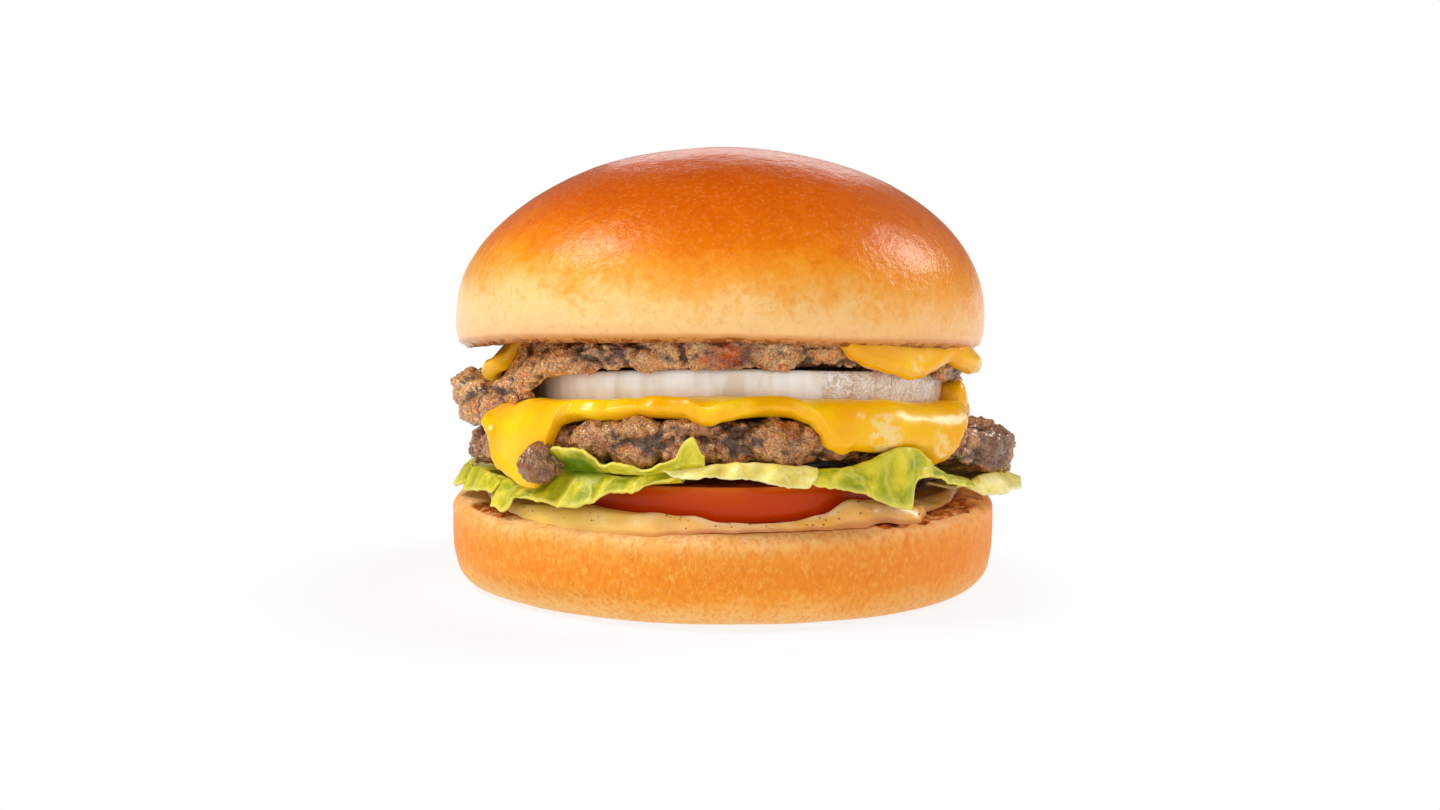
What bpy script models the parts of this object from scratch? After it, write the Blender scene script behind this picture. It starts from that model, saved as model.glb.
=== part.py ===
"""Double hamburger: a soft glazed bun filled with two craggy beef patties, two melted cheese slices,
a raw onion slice, a tomato slice, lettuce leaves and a pepper-flecked sauce.

Every layer starts as a plain shape, turned with Screw or drawn as a grid, and is then laid on the
layer below it. Lengths are in millimetres up to the moment a mesh is written.
Azimuths are in degrees: 0 is the front (-Y), 90 the right (+X), 180 the back.
"""

import math

import bmesh
import bpy
from mathutils import Vector, noise

MM = 0.001

# How many steps each round piece is turned in
BUN_STEPS = 50
PATTY_STEPS = 60
ONION_STEPS = 44
TOMATO_STEPS = 40
SHARP_ANGLE = 60.0

# Bun
HEEL_RADIUS = 51.6
HEEL_HEIGHT = 17.1
HEEL_FOOT_RADIUS = 46.0
HEEL_RIM_FLAT = 47.9
HEEL_RIM_DROP = 2.6
HEEL_CORNER = 4.6
HEEL_CORNER_STEPS = 4
HEEL_BULGE = 0.5
HEEL_FOOT_RING = 24.0
HEEL_TOP_RINGS = (0.0, 24.0, 40.0, HEEL_RIM_FLAT, 49.6, 50.8)
HEEL_SIDE = [(51.5, 13.0), (HEEL_RADIUS, 9.4)]
HEEL_SWELLS = ((0.3, 2.0, 2.2), (-0.15, 5.0, 0.0))
CROWN_RADIUS = 50.4
CROWN_LIP_RADIUS = 48.6
CROWN_INNER_RADIUS = 47.7
CROWN_WIDEST = 3.9
CROWN_DOME = 32.0
CROWN_DOME_STEPS = 8
CROWN_LIP = [(CROWN_RADIUS, CROWN_WIDEST), (50.0, 1.5), (49.4, 0.35), (CROWN_LIP_RADIUS, 0.0)]
CROWN_HOLLOW_RINGS = (CROWN_INNER_RADIUS, 44.0, 34.0, 20.0, 0.0)
CROWN_HOLLOW = -1.0
CROWN_HOLLOW_DEPTH = 0.4
CROWN_SWELL = 0.4
CROWN_SWELL_SIZE = 38.0
CROWN_LEAN = 0.096
CROWN_ROLL = 0.014
CROWN_SHIFT = -0.7
CROWN_TOP_SHIFT = 1.7
CROWN_CLEARANCE = 0.9
LIP_CENTRE_HEIGHT = 46.9

# Stack
GAP = 0.42
DRAPE_GAP = 0.65
SEAT_GAP = 0.6
STACK_LEAN = 0.0787
DECK_FRONT_HEIGHT = 29.5
SAG_RADIUS = 50.0
CHEESE_THICKNESS = 1.6
LOWER_CORE_THICKNESS = 8.0
UPPER_CORE_THICKNESS = 6.3
PATTY_EDGE_SHARE = 0.09
PATTY_FULLNESS = 0.75
PATTY_RING = 0.77
PATTY_CARVED = 0.84
CHEESE_SHOULDER = 0.8
CRAG_SIZE = 6.5
CRAG_DEPTH = 1.9

# Slices and leaves
ONION_RADIUS = 40.0
ONION_CENTRE = (2.5, -3.0)
ONION_THICKNESS = 5.6
ONION_BRIM = (3.1, 8.4)
TOMATO_RADIUS = 34.5
TOMATO_CENTRE = (0.5, -10.5)
TOMATO_UNDERSIDE = 18.3
TOMATO_FRONT_TOP = 24.8
TOMATO_LEAN = 0.035
SAUCE_FILM = 0.8
SAUCE_SINK = 0.25
SAUCE_EDGE = 0.5
SAUCE_FOOT = (0.8, 0.6, 2.4)
SAUCE_BANK = (0.88, 2.6, 1.4)
LEAF_THICKNESS = 0.7
LEAF_ROWS = 6
LEAF_LIP = (0.45, 47.5)
LEAF_CREST = 0.7

# What follows the azimuth, as (azimuth, millimetres) stations that are eased into each other
DECK_SAG = [(-180, 1.5), (-90, 3.8), (-45, 1.0), (0, 0.0), (35, 0.8), (88, 4.6), (140, 2.5)]
LOWER_REACH = [(-180, 48.0), (-120, 47.5), (-88, 49.3), (-60, 48.2), (-20, 47.6), (20, 47.4), (50, 47.0),
               (68, 50.3), (84, 55.4), (100, 51.6), (130, 48.0)]
LOWER_THICKNESS = [(-180, 7.5), (-88, 6.6), (-45, 7.6), (0, 8.1), (50, 7.8), (84, 9.8), (130, 7.8)]
UPPER_REACH = [(-180, 45.8), (-125, 46.6), (-86, 52.0), (-62, 46.6), (-40, 45.6), (0, 45.8), (28, 45.0),
               (60, 44.6), (85, 46.7), (130, 45.4)]
UPPER_UNDERSIDE = [(-180, 34.2), (-130, 33.6), (-88, 30.4), (-74, 32.6), (-60, 37.8), (-44, 42.0),
                   (-28, 44.5), (-7, 46.0), (6, 46.0), (29, 44.6), (50, 42.8), (64, 39.6), (85, 36.4),
                   (130, 36.2)]
UPPER_THICKNESS = [(-180, 6.0), (-130, 7.4), (-88, 10.5), (-66, 8.0), (-40, 6.3), (30, 6.2), (56, 5.0),
                   (75, 3.9), (90, 3.9), (130, 5.2)]
LIP_SAG = [(-180, 1.2), (-90, 2.5), (-35, 0.5), (0, 0.0), (35, 0.6), (88, 1.5), (135, 1.5)]
HEEL_TUCK = [(-180, 0.5), (-75, 0.6), (-50, 2.0), (-30, 2.7), (0, 2.4), (20, 1.2), (38, 0.2)]
# How far a melted edge hangs below the top of its patty. Below zero it stops short of the rim
LOWER_CHEESE_HANG = [(-180, 1.5), (-162, 3.5), (-146, 4.6), (-126, 2.0), (-104, 0.8), (-86, -2.2),
                     (-72, 1.0), (-64, 3.2), (-57, 10.6), (-51, 13.0), (-46, 12.0), (-41, 6.0),
                     (-35, 2.2), (-28, 3.6), (-22, 0.6), (-14, 2.0), (-9, 0.6), (-3, 3.0), (8, 0.6),
                     (15, 1.6), (21, 7.0), (32, 8.2), (44, 9.4), (51, 10.6), (58, 8.2), (66, 3.0),
                     (76, 0.4), (96, 0.8), (118, 2.5), (134, 5.0), (150, 4.2), (166, 1.2)]
UPPER_CHEESE_HANG = [(-180, 1.2), (-160, 5.2), (-146, 7.0), (-128, 3.2), (-108, 0.6), (-80, 0.2),
                     (-66, 3.4), (-56, 1.0), (-46, -1.5), (10, -1.5), (22, 0.6), (30, 5.0), (38, 6.6),
                     (46, 7.6), (54, 5.8), (64, 2.4), (72, 5.4), (82, 6.4), (92, 3.8), (104, 0.8),
                     (124, 3.0), (140, 6.4), (156, 3.0)]
SAUCE_REACH = [(-180, 44.5), (-150, 46.2), (-120, 45.0), (-95, 46.4), (-74, 45.2), (-56, 47.8),
               (-42, 48.4), (-29, 48.9), (-14, 49.4), (-4, 48.2), (12, 47.9), (30, 48.3), (36, 47.5),
               (45, 49.3), (54, 46.4), (80, 44.8), (110, 46.2), (145, 44.6)]
SAUCE_HEAP = [(-180, 1.2), (-95, 1.2), (-62, 1.4), (-50, 2.4), (-34, 3.4), (-16, 3.2), (-7, 2.8),
              (0, 1.3), (17, 1.3), (24, 2.2), (31, 5.2), (38, 4.0), (46, 2.4), (62, 1.3)]

# Each leaf: its colour, its inner radius, how high it is tucked between tomato (0) and patty (1),
# its columns, the depth and number of its ruffles, then (azimuth, radius, height) stations of its
# crest and of its free edge
LEAVES = {
    "lettuce_left_tip": ("lettuce", 42.0, 0.5, 9, 0.5, 2.0,
                         [(-91, 49.0, 21.0), (-76, 49.6, 21.6), (-59, 49.4, 22.0)],
                         [(-91, 49.8, 19.6), (-82, 51.2, 18.9), (-68, 50.8, 20.0), (-59, 50.6, 21.0)]),
    "lettuce_front_ruffle": ("lettuce", 38.0, 0.25, 16, 0.5, 4.0,
                             [(-57, 49.2, 21.2), (-49, 49.4, 20.6), (-40, 49.6, 23.0), (-28, 50.0, 26.4),
                              (-13.5, 49.4, 27.0)],
                             [(-57, 50.4, 20.2), (-52, 51.0, 18.6), (-47, 51.0, 20.6), (-40, 51.2, 21.4),
                              (-32, 52.0, 21.2), (-24, 51.6, 23.6), (-13.5, 50.4, 25.4)]),
    "lettuce_front_curl": ("lettuce", 40.0, 0.95, 12, 0.25, 3.0,
                           [(-37, 49.8, 27.4), (-22, 50.2, 28.4), (-4.4, 50.2, 30.0)],
                           [(-37, 50.6, 29.6), (-30, 51.6, 31.4), (-21, 51.4, 29.4), (-13, 51.2, 29.4),
                            (-7, 51.6, 34.6), (-4.4, 51.2, 33.0)]),
    "lettuce_front_pale": ("pale_lettuce", 38.0, 0.15, 11, 0.4, 2.5,
                           [(-12, 48.8, 27.2), (-4, 49.0, 27.8), (6, 49.0, 27.8), (18, 48.8, 27.2)],
                           [(-12, 50.0, 26.4), (-2, 50.6, 26.2), (9, 50.4, 25.0), (15, 50.2, 24.6),
                            (18, 49.8, 25.4)]),
    "lettuce_right_fold": ("pale_lettuce", 41.0, 0.2, 18, 0.3, 3.0,
                           [(20, 50.2, 27.6), (31, 50.8, 28.2), (37, 51.2, 30.6), (42, 51.2, 30.9),
                            (46, 51.0, 29.8), (51, 50.4, 25.6), (58, 50.0, 24.0), (66, 50.0, 21.8)],
                           [(20, 50.6, 25.6), (26, 51.2, 25.0), (33, 52.2, 22.2), (38, 52.6, 20.3),
                            (42, 52.4, 23.0), (46, 52.2, 24.6), (51, 51.6, 23.4), (58, 51.2, 22.2),
                            (66, 51.0, 20.6)]),
    "lettuce_right_tip": ("pale_lettuce", 42.0, 0.35, 10, 0.5, 1.5,
                          [(68, 50.0, 20.8), (82, 52.2, 20.2), (97, 50.0, 20.2)],
                          [(68, 52.0, 20.2), (79, 56.8, 18.8), (88, 57.4, 18.0), (97, 53.0, 18.8)]),
    "lettuce_back_right": ("lettuce", 40.0, 0.5, 10, 0.5, 2.5,
                           [(101, 49.8, 20.6), (126, 50.4, 21.4), (152, 49.8, 20.8)],
                           [(101, 51.2, 19.4), (113, 52.6, 18.0), (126, 51.4, 20.6), (140, 52.0, 18.4),
                            (152, 51.2, 20.0)]),
    "lettuce_back": ("pale_lettuce", 38.0, 0.5, 10, 0.5, 2.5,
                     [(156, 49.6, 20.4), (182, 50.2, 21.2), (208, 49.6, 20.6)],
                     [(156, 50.8, 18.8), (170, 52.0, 20.6), (184, 51.4, 18.4), (200, 52.0, 20.2),
                      (208, 51.0, 19.2)]),
    "lettuce_back_left": ("lettuce", 40.0, 0.5, 10, 0.5, 2.5,
                          [(212, 49.6, 20.8), (240, 50.4, 21.8), (264, 49.8, 21.2)],
                          [(212, 51.2, 19.8), (226, 52.4, 18.2), (240, 51.4, 20.8), (254, 52.0, 18.6),
                           (264, 51.0, 19.8)]),
}

# Linear colour and roughness
FINISHES = {
    "crust": ((0.71, 0.25, 0.035), 0.32),
    "heel_crust": ((0.86, 0.42, 0.10), 0.55),
    "beef": ((0.22, 0.095, 0.045), 0.55),
    "cheese": ((0.93, 0.44, 0.02), 0.30),
    "onion": ((0.82, 0.76, 0.64), 0.25),
    "tomato": ((0.53, 0.055, 0.008), 0.25),
    "sauce": ((0.86, 0.42, 0.13), 0.30),
    "lettuce": ((0.55, 0.58, 0.08), 0.40),
    "pale_lettuce": ((0.74, 0.66, 0.22), 0.40),
}


def ease(share):
    """0 below 0, 1 above 1, and a smooth slope between them."""
    share = min(max(share, 0.0), 1.0)
    return share * share * (3.0 - 2.0 * share)


def mix(low, high, share):
    return low + (high - low) * share


def between(stations, place, easing=ease):
    """The value at a place on an open run of (place, value) stations, held level past both ends."""
    if place <= stations[0][0]:
        return stations[0][1]
    for (before, low), (after, high) in zip(stations, stations[1:]):
        if place <= after:
            return mix(low, high, easing((place - before) / (after - before)))
    return stations[-1][1]


def around(stations, azimuth):
    """The value at an azimuth on a closed run of (azimuth, value) stations."""
    azimuth = (azimuth + 180.0) % 360.0 - 180.0
    return between([*stations, (stations[0][0] + 360.0, stations[0][1])], azimuth)


def linear(share):
    return share


def polar(x, y):
    """Distance from the axis, and the azimuth."""
    return math.hypot(x, y), math.degrees(math.atan2(x, -y))


def from_polar(radius, azimuth):
    turn = math.radians(azimuth)
    return radius * math.sin(turn), -radius * math.cos(turn)


def beyond(x, y, centre, radius):
    """How far a point lies outside a slice."""
    return math.hypot(x - centre[0], y - centre[1]) - radius


def rim_from_axis(azimuth, centre, radius):
    """Distance from the axis to the rim of a slice that isn't centred on it."""
    out_x, out_y = from_polar(1.0, azimuth)
    along = centre[0] * out_x + centre[1] * out_y
    across = centre[0] * out_y - centre[1] * out_x
    return along + math.sqrt(radius * radius - across * across)


def heel_top(radius):
    """The cut face of the heel, rounding over at its rim."""
    over = min(max((radius - HEEL_RIM_FLAT) / (HEEL_RADIUS - HEEL_RIM_FLAT), 0.0), 1.0)
    return HEEL_HEIGHT - HEEL_RIM_DROP * (1.0 - math.sqrt(1.0 - over * over))


def tomato_top(y):
    return TOMATO_FRONT_TOP - TOMATO_LEAN * (y - TOMATO_CENTRE[1] + TOMATO_RADIUS)


def sauce_top(x, y):
    """A film under the tomato, squeezed up into a heap outside it."""
    radius, azimuth = polar(x, y)
    heap = around(SAUCE_HEAP, azimuth) - SAUCE_FILM
    off_tomato = ease((beyond(x, y, TOMATO_CENTRE, TOMATO_RADIUS) - 0.8) / 1.6)
    return heel_top(radius) + SAUCE_FILM + heap * off_tomato


def rimward(radius):
    """0 in the middle of a bun half, 1 at its rim."""
    return ease((radius - 30.0) / 18.0)


def bed_of_leaves(x, y):
    """What the leaves lie on: the tomato, and the sauce around it."""
    tomato, sauce = tomato_top(y) + GAP, sauce_top(x, y) + GAP
    off_tomato = ease((beyond(x, y, TOMATO_CENTRE, TOMATO_RADIUS) - 0.8) / 3.5)
    return max(mix(tomato, sauce, off_tomato), sauce)


def sagging(x, y):
    """Each layer droops with the square of its distance from the axis."""
    return (x * x + y * y) / SAG_RADIUS ** 2


def lower_patty_underside(x, y):
    lean = STACK_LEAN * (y + HEEL_RIM_FLAT)
    return DECK_FRONT_HEIGHT - lean - around(DECK_SAG, polar(x, y)[1]) * sagging(x, y)


def lower_patty_top(x, y):
    swell = around(LOWER_THICKNESS, polar(x, y)[1]) - LOWER_CORE_THICKNESS
    return lower_patty_underside(x, y) + LOWER_CORE_THICKNESS + swell * sagging(x, y)


def onion_underside(x, y):
    return lower_patty_top(x, y) + DRAPE_GAP + CHEESE_THICKNESS + GAP


def onion_top(x, y):
    return onion_underside(x, y) + ONION_THICKNESS


def upper_patty_underside(x, y):
    """Flat on the onion, then drooping past its rim."""
    start, end = ONION_BRIM
    on_onion = onion_top(x, y) + SEAT_GAP
    droop = min(around(UPPER_UNDERSIDE, polar(x, y)[1]) - on_onion, 0.0)
    share = (beyond(x, y, ONION_CENTRE, ONION_RADIUS) - start) / (end - start)
    return on_onion + droop * min(max(share, 0.0), 1.0)


def upper_patty_top(x, y):
    swell = around(UPPER_THICKNESS, polar(x, y)[1]) - UPPER_CORE_THICKNESS
    return upper_patty_underside(x, y) + UPPER_CORE_THICKNESS + swell * sagging(x, y)


def crown_underside(x, y):
    """Clear of the cheese, also where the patty under it is thickest."""
    swell = around(UPPER_THICKNESS, polar(x, y)[1]) - UPPER_CORE_THICKNESS
    patty_top = onion_top(x, y) + SEAT_GAP + UPPER_CORE_THICKNESS + max(swell, 0.0) * sagging(x, y)
    return patty_top + DRAPE_GAP + CHEESE_THICKNESS + CROWN_CLEARANCE


def crown_plane(x, y):
    """The crown leans back and rolls a little to the right."""
    return LIP_CENTRE_HEIGHT - CROWN_LEAN * y - CROWN_ROLL * x


def split_alike(mesh):
    """Splits each four-sided face along the diagonal that turns anticlockwise on its way outwards, so that
    pieces that lie on each other bend along the same lines."""
    shape = bmesh.new()
    shape.from_mesh(mesh)
    for face in [face for face in shape.faces if len(face.verts) == 4]:
        corners = list(face.verts)
        for pair in (corners[0::2], corners[1::2]):
            inner, outer = sorted(pair, key=lambda corner: corner.co.xy.length - 0.001 * corner.co.z)
            if inner.co.xy.cross(outer.co.xy) > 0.0:
                bmesh.utils.face_split(face, inner, outer)
                break
    shape.to_mesh(mesh)
    shape.free()


def turned(name, profile, steps):
    """A closed mesh turned by a Screw modifier from (radius, height) points, from the axis round to it."""
    points = [(radius * MM, 0.0, height * MM) for radius, height in profile]
    line = bpy.data.meshes.new(name + "_profile")
    line.from_pydata(points, [(i, i + 1) for i in range(len(points) - 1)], [])
    blank = bpy.data.objects.new(name + "_blank", line)
    bpy.context.scene.collection.objects.link(blank)
    screw = blank.modifiers.new("turn", "SCREW")
    screw.steps = steps
    screw.render_steps = steps
    screw.use_merge_vertices = True
    screw.merge_threshold = 1e-6
    graph = bpy.context.evaluated_depsgraph_get()
    mesh = bpy.data.meshes.new_from_object(blank.evaluated_get(graph))
    bpy.data.objects.remove(blank)
    mesh.name = name
    split_alike(mesh)
    return mesh


def slab(faces, rim_points, edge, fullness=1.0):
    """(radius, height) profile of a disc of radius 1, 1 above and below its middle, with a rounded rim.
    faces are the radii of the rings on its flat sides, edge is the depth of the rounding, and fullness
    below 1 makes the rim squarer."""
    rings = [*faces, 1.0 - edge]
    rim = []
    for step in range(1, rim_points + 1):
        turn = math.pi * step / (rim_points + 1)
        height = math.copysign(abs(math.cos(turn)) ** fullness, math.cos(turn))
        rim.append((1.0 - edge + edge * math.sin(turn) ** fullness, height))
    return [(ring, 1.0) for ring in rings] + rim + [(ring, -1.0) for ring in reversed(rings)]


def laid(mesh, place):
    """Moves every vertex of a turned mesh to where place(x, y, z) puts it, all in millimetres."""
    for vertex in mesh.vertices:
        vertex.co = Vector(place(*(vertex.co / MM))) * MM
    mesh.update()
    return mesh


def finish(name):
    colour, roughness = FINISHES[name]
    made = bpy.data.materials.get(name) or bpy.data.materials.new(name)
    made.use_nodes = True
    made.diffuse_color = (*colour, 1.0)
    shader = made.node_tree.nodes["Principled BSDF"]
    shader.inputs["Base Color"].default_value = (*colour, 1.0)
    shader.inputs["Roughness"].default_value = roughness
    shader.inputs["Metallic"].default_value = 0.0
    return made


def piece(name, mesh, finish_name):
    mesh.materials.append(finish(finish_name))
    mesh.shade_smooth()
    mesh.set_sharp_from_angle(angle=math.radians(SHARP_ANGLE))
    made = bpy.data.objects.new(name, mesh)
    burger.objects.link(made)
    return made


def make_bottom_bun():
    """Flat foot, round lower corner, full side and a cut face whose rim rolls over."""
    corner_width = HEEL_RADIUS - HEEL_FOOT_RADIUS - HEEL_BULGE
    profile = [(radius, heel_top(radius)) for radius in HEEL_TOP_RINGS] + HEEL_SIDE
    for step in range(HEEL_CORNER_STEPS + 1):
        turn = 0.5 * math.pi * step / HEEL_CORNER_STEPS
        radius = HEEL_FOOT_RADIUS + corner_width * math.cos(turn)
        profile.append((radius, HEEL_CORNER * (1.0 - math.sin(turn))))
    profile += [(HEEL_FOOT_RING, 0.0), (0.0, 0.0)]

    def place(x, y, z):
        radius, azimuth = polar(x, y)
        turn = math.radians(azimuth)
        swell = sum(depth * math.sin(waves * turn - phase) for depth, waves, phase in HEEL_SWELLS)
        tuck = around(HEEL_TUCK, azimuth) * (1.0 - ease(z / (1.6 * HEEL_CORNER)))
        share = 1.0 + (swell - tuck) / HEEL_RADIUS * rimward(radius)
        return x * share, y * share, z

    piece("bottom_bun", laid(turned("bottom_bun", profile, BUN_STEPS), place), "heel_crust")


def make_sauce():
    """A skin over the cut face that hugs the tomato's rim and spills over the heel's."""
    foot_ring, foot_gap, foot_rest = SAUCE_FOOT
    bank_ring, bank_gap, bank_rest = SAUCE_BANK
    profile = slab([0.0, foot_ring, bank_ring, 0.94], 1, 0.02)

    def place(x, y, z):
        share, azimuth = polar(x, y)
        reach = around(SAUCE_REACH, azimuth)
        rim = rim_from_axis(azimuth, TOMATO_CENTRE, TOMATO_RADIUS)
        foot = min(rim + foot_gap, reach - foot_rest)
        bank = min(rim + bank_gap, reach - bank_rest)
        radius = between([(0.0, 0.0), (foot_ring, foot), (bank_ring, bank), (1.0, reach)], share, linear)
        flat_x, flat_y = from_polar(radius, azimuth)
        low = heel_top(radius) + SAUCE_SINK
        high = mix(sauce_top(flat_x, flat_y), low + SAUCE_EDGE, ease((share - 0.95) / 0.05))
        return flat_x, flat_y, mix(low, high, 0.5 * (z + 1.0))

    piece("sauce", laid(turned("sauce", profile, BUN_STEPS), place), "sauce")


def make_tomato():
    def place(x, y, z):
        flat_x = TOMATO_CENTRE[0] + x * TOMATO_RADIUS
        flat_y = TOMATO_CENTRE[1] + y * TOMATO_RADIUS
        return flat_x, flat_y, mix(TOMATO_UNDERSIDE, tomato_top(flat_y), 0.5 * (z + 1.0))

    profile = slab([0.0, 0.5], 3, 0.035)
    piece("tomato_slice", laid(turned("tomato_slice", profile, TOMATO_STEPS), place), "tomato")


def make_onion():
    def place(x, y, z):
        flat_x = ONION_CENTRE[0] + x * ONION_RADIUS
        flat_y = ONION_CENTRE[1] + y * ONION_RADIUS
        low, high = onion_underside(flat_x, flat_y), onion_top(flat_x, flat_y)
        return flat_x, flat_y, mix(low, high, 0.5 * (z + 1.0))

    profile = slab([0.0, 0.4, 0.75], 3, 0.03)
    piece("onion_slice", laid(turned("onion_slice", profile, ONION_STEPS), place), "onion")


def crag(spot, seed):
    """0 on top of a lump of minced beef, up to 1 in the creases between lumps."""
    nearest = noise.voronoi(spot / CRAG_SIZE + Vector((seed, 0.0, 0.0)))[0][0]
    return min(1.6 * nearest * nearest, 1.0)


def make_patty(name, underside, top, reach, seed):
    """A thick disc whose rim is carved inwards into lumps."""
    profile = slab([0.0, 0.5, PATTY_RING], 4, PATTY_EDGE_SHARE, PATTY_FULLNESS)

    def place(x, y, z):
        share, azimuth = polar(x, y)
        limit = around(reach, azimuth)
        flat_x, flat_y = from_polar(share * limit, azimuth)
        height = mix(underside(flat_x, flat_y), top(flat_x, flat_y), 0.5 * (z + 1.0))
        outward = max(share - 1.0 + PATTY_EDGE_SHARE, 0.0) / PATTY_EDGE_SHARE
        length = max(math.hypot(outward, z), 1.0)
        carved = crag(Vector((flat_x, flat_y, height)), seed) * ease((share - PATTY_CARVED) / 0.06)
        depth = CRAG_DEPTH * carved / length
        flat_x, flat_y = from_polar(share * limit - depth * outward, azimuth)
        return flat_x, flat_y, height - depth * z

    piece(name, laid(turned(name, profile, PATTY_STEPS), place), "beef")


def draped(along, azimuth, underside, top, reach):
    """A point on the middle of a slice that lies over a patty, as (radius, height, outward, upward).
    along is the way over the patty's top, round its rim and then straight down."""
    limit = around(reach, azimuth)
    edge = PATTY_EDGE_SHARE * limit
    shoulder = limit - edge
    clear = DRAPE_GAP + 0.5 * CHEESE_THICKNESS
    if along < shoulder:
        return along, top(*from_polar(along, azimuth)) + clear, 0.0, 1.0
    half = 0.5 * (top(*from_polar(limit, azimuth)) - underside(*from_polar(limit, azimuth)))
    bend = 0.5 * (edge + half) + clear
    quarter = 0.5 * math.pi
    turn = (along - shoulder) / bend
    over = min(turn, quarter)
    radius = shoulder + (edge + clear) * math.sin(over) ** PATTY_FULLNESS
    near = from_polar(min(radius, limit), azimuth)
    middle = 0.5 * (underside(*near) + top(*near))
    height = middle + (half + clear) * abs(math.cos(over)) ** PATTY_FULLNESS - (turn - over) * bend
    return radius, height, math.sin(over), math.cos(over)


def draped_length(hang, azimuth, underside, top, reach):
    """The way along the slice to an edge that hangs this far below the patty's top."""
    limit = around(reach, azimuth)
    edge = PATTY_EDGE_SHARE * limit
    shoulder = limit - edge
    if hang <= 0.0:
        return shoulder + hang
    rim = from_polar(limit, azimuth)
    clear = DRAPE_GAP + 0.5 * CHEESE_THICKNESS
    drop = 0.5 * (top(*rim) - underside(*rim)) + clear
    bend = 0.5 * (edge + drop + clear)
    if hang < drop:
        return shoulder + bend * math.acos(1.0 - hang / drop)
    return shoulder + bend * 0.5 * math.pi + hang - drop


def make_cheese(name, underside, top, reach, hang):
    """A slice that melted over its patty: flat on top, round the rim, and down to a drawn-out edge."""
    profile = slab([0.0, 0.5, 0.7, CHEESE_SHOULDER, 0.87, 0.94], 1, 0.01)

    def place(x, y, z):
        share, azimuth = polar(x, y)
        limit = around(reach, azimuth)
        length = draped_length(around(hang, azimuth), azimuth, underside, top, reach)
        shoulder = min((1.0 - PATTY_EDGE_SHARE) * limit, length - 1.5)
        rings = [(0.0, 0.0), (0.5, 0.5 * limit), (0.7, min(PATTY_RING * limit, shoulder - 1.0)),
                 (CHEESE_SHOULDER, shoulder), (1.0, length)]
        along = between(rings, share, linear)
        radius, height, outward, upward = draped(along, azimuth, underside, top, reach)
        offset = 0.5 * CHEESE_THICKNESS * z
        flat_x, flat_y = from_polar(radius + offset * outward, azimuth)
        return flat_x, flat_y, height + offset * upward

    piece(name, laid(turned(name, profile, PATTY_STEPS), place), "cheese")


def make_top_bun():
    """A domed crown over a lip that tucks in, hollowed underneath where it sits on the stack."""
    profile = []
    for step in range(CROWN_DOME_STEPS):
        turn = 0.5 * math.pi * step / (CROWN_DOME_STEPS - 0.4)
        profile.append((CROWN_RADIUS * math.sin(turn), CROWN_WIDEST + CROWN_DOME * math.cos(turn)))
    profile += CROWN_LIP
    profile += [(radius, CROWN_HOLLOW) for radius in CROWN_HOLLOW_RINGS]

    def place(x, y, z):
        x = x + CROWN_SHIFT + CROWN_TOP_SHIFT * ease(z / CROWN_DOME)
        radius, azimuth = polar(x, y)
        sag = around(LIP_SAG, azimuth) * (1.0 - ease(z / 9.0)) * rimward(radius)
        plane = crown_plane(x, y)
        if z < 0.5 * CROWN_HOLLOW:
            return x, y, max(crown_underside(x, y), plane - sag + CROWN_HOLLOW_DEPTH)
        swell = CROWN_SWELL * noise.noise(Vector((x, y, z)) / CROWN_SWELL_SIZE)
        share = 1.0 + swell / CROWN_RADIUS
        return x * share, y * share, plane + z - sag

    piece("top_bun", laid(turned("top_bun", profile, BUN_STEPS), place), "crust")


def make_leaf(name, finish_name, inner, level, columns, frill, waves, crest, edge):
    """A leaf that comes out between tomato and patty, over a crest and on to its free edge."""
    start, end = crest[0][0], crest[-1][0]
    lip_share, lip_radius = LEAF_LIP
    crest_radius = [(azimuth, radius) for azimuth, radius, height in crest]
    crest_height = [(azimuth, height) for azimuth, radius, height in crest]
    edge_radius = [(azimuth, radius) for azimuth, radius, height in edge]
    edge_height = [(azimuth, height) for azimuth, radius, height in edge]
    half = 0.5 * LEAF_THICKNESS + GAP

    def tucked(radius, azimuth):
        x, y = from_polar(radius, azimuth)
        return mix(bed_of_leaves(x, y) + half - GAP, lower_patty_underside(x, y) - half, level)

    sheet = bmesh.new()
    bmesh.ops.create_grid(sheet, x_segments=columns, y_segments=LEAF_ROWS, size=0.5)
    for vertex in sheet.verts:
        azimuth = mix(start, end, vertex.co.x + 0.5)
        across = vertex.co.y + 0.5
        crest_r, crest_h = between(crest_radius, azimuth), between(crest_height, azimuth)
        edge_r, edge_h = between(edge_radius, azimuth), between(edge_height, azimuth)
        run = [(0.0, inner), (lip_share, lip_radius), (LEAF_CREST, crest_r), (1.0, edge_r)]
        radius = between(run, across, linear)
        height = tucked(min(radius, lip_radius), azimuth)
        if across > lip_share:
            height = mix(height, crest_h, ease((across - lip_share) / (LEAF_CREST - lip_share)))
        if across > LEAF_CREST:
            height = mix(crest_h, edge_h, (across - LEAF_CREST) / (1.0 - LEAF_CREST))
        phase = 2.0 * math.pi * waves * (vertex.co.x + 0.5)
        ruffle = frill * math.sin(phase) * ease((across - 0.6) / 0.4)
        x, y = from_polar(radius + ruffle, azimuth)
        vertex.co = Vector((x, y, height)) * MM
    bmesh.ops.triangulate(sheet, faces=sheet.faces)
    mesh = bpy.data.meshes.new(name)
    sheet.to_mesh(mesh)
    sheet.free()
    leaf = piece(name, mesh, finish_name)
    solid = leaf.modifiers.new("thickness", "SOLIDIFY")
    solid.thickness = LEAF_THICKNESS * MM
    solid.offset = 0.0


for leftover in list(bpy.data.objects):
    bpy.data.objects.remove(leftover)
burger = bpy.data.collections.new("hamburger")
bpy.context.scene.collection.children.link(burger)

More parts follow.
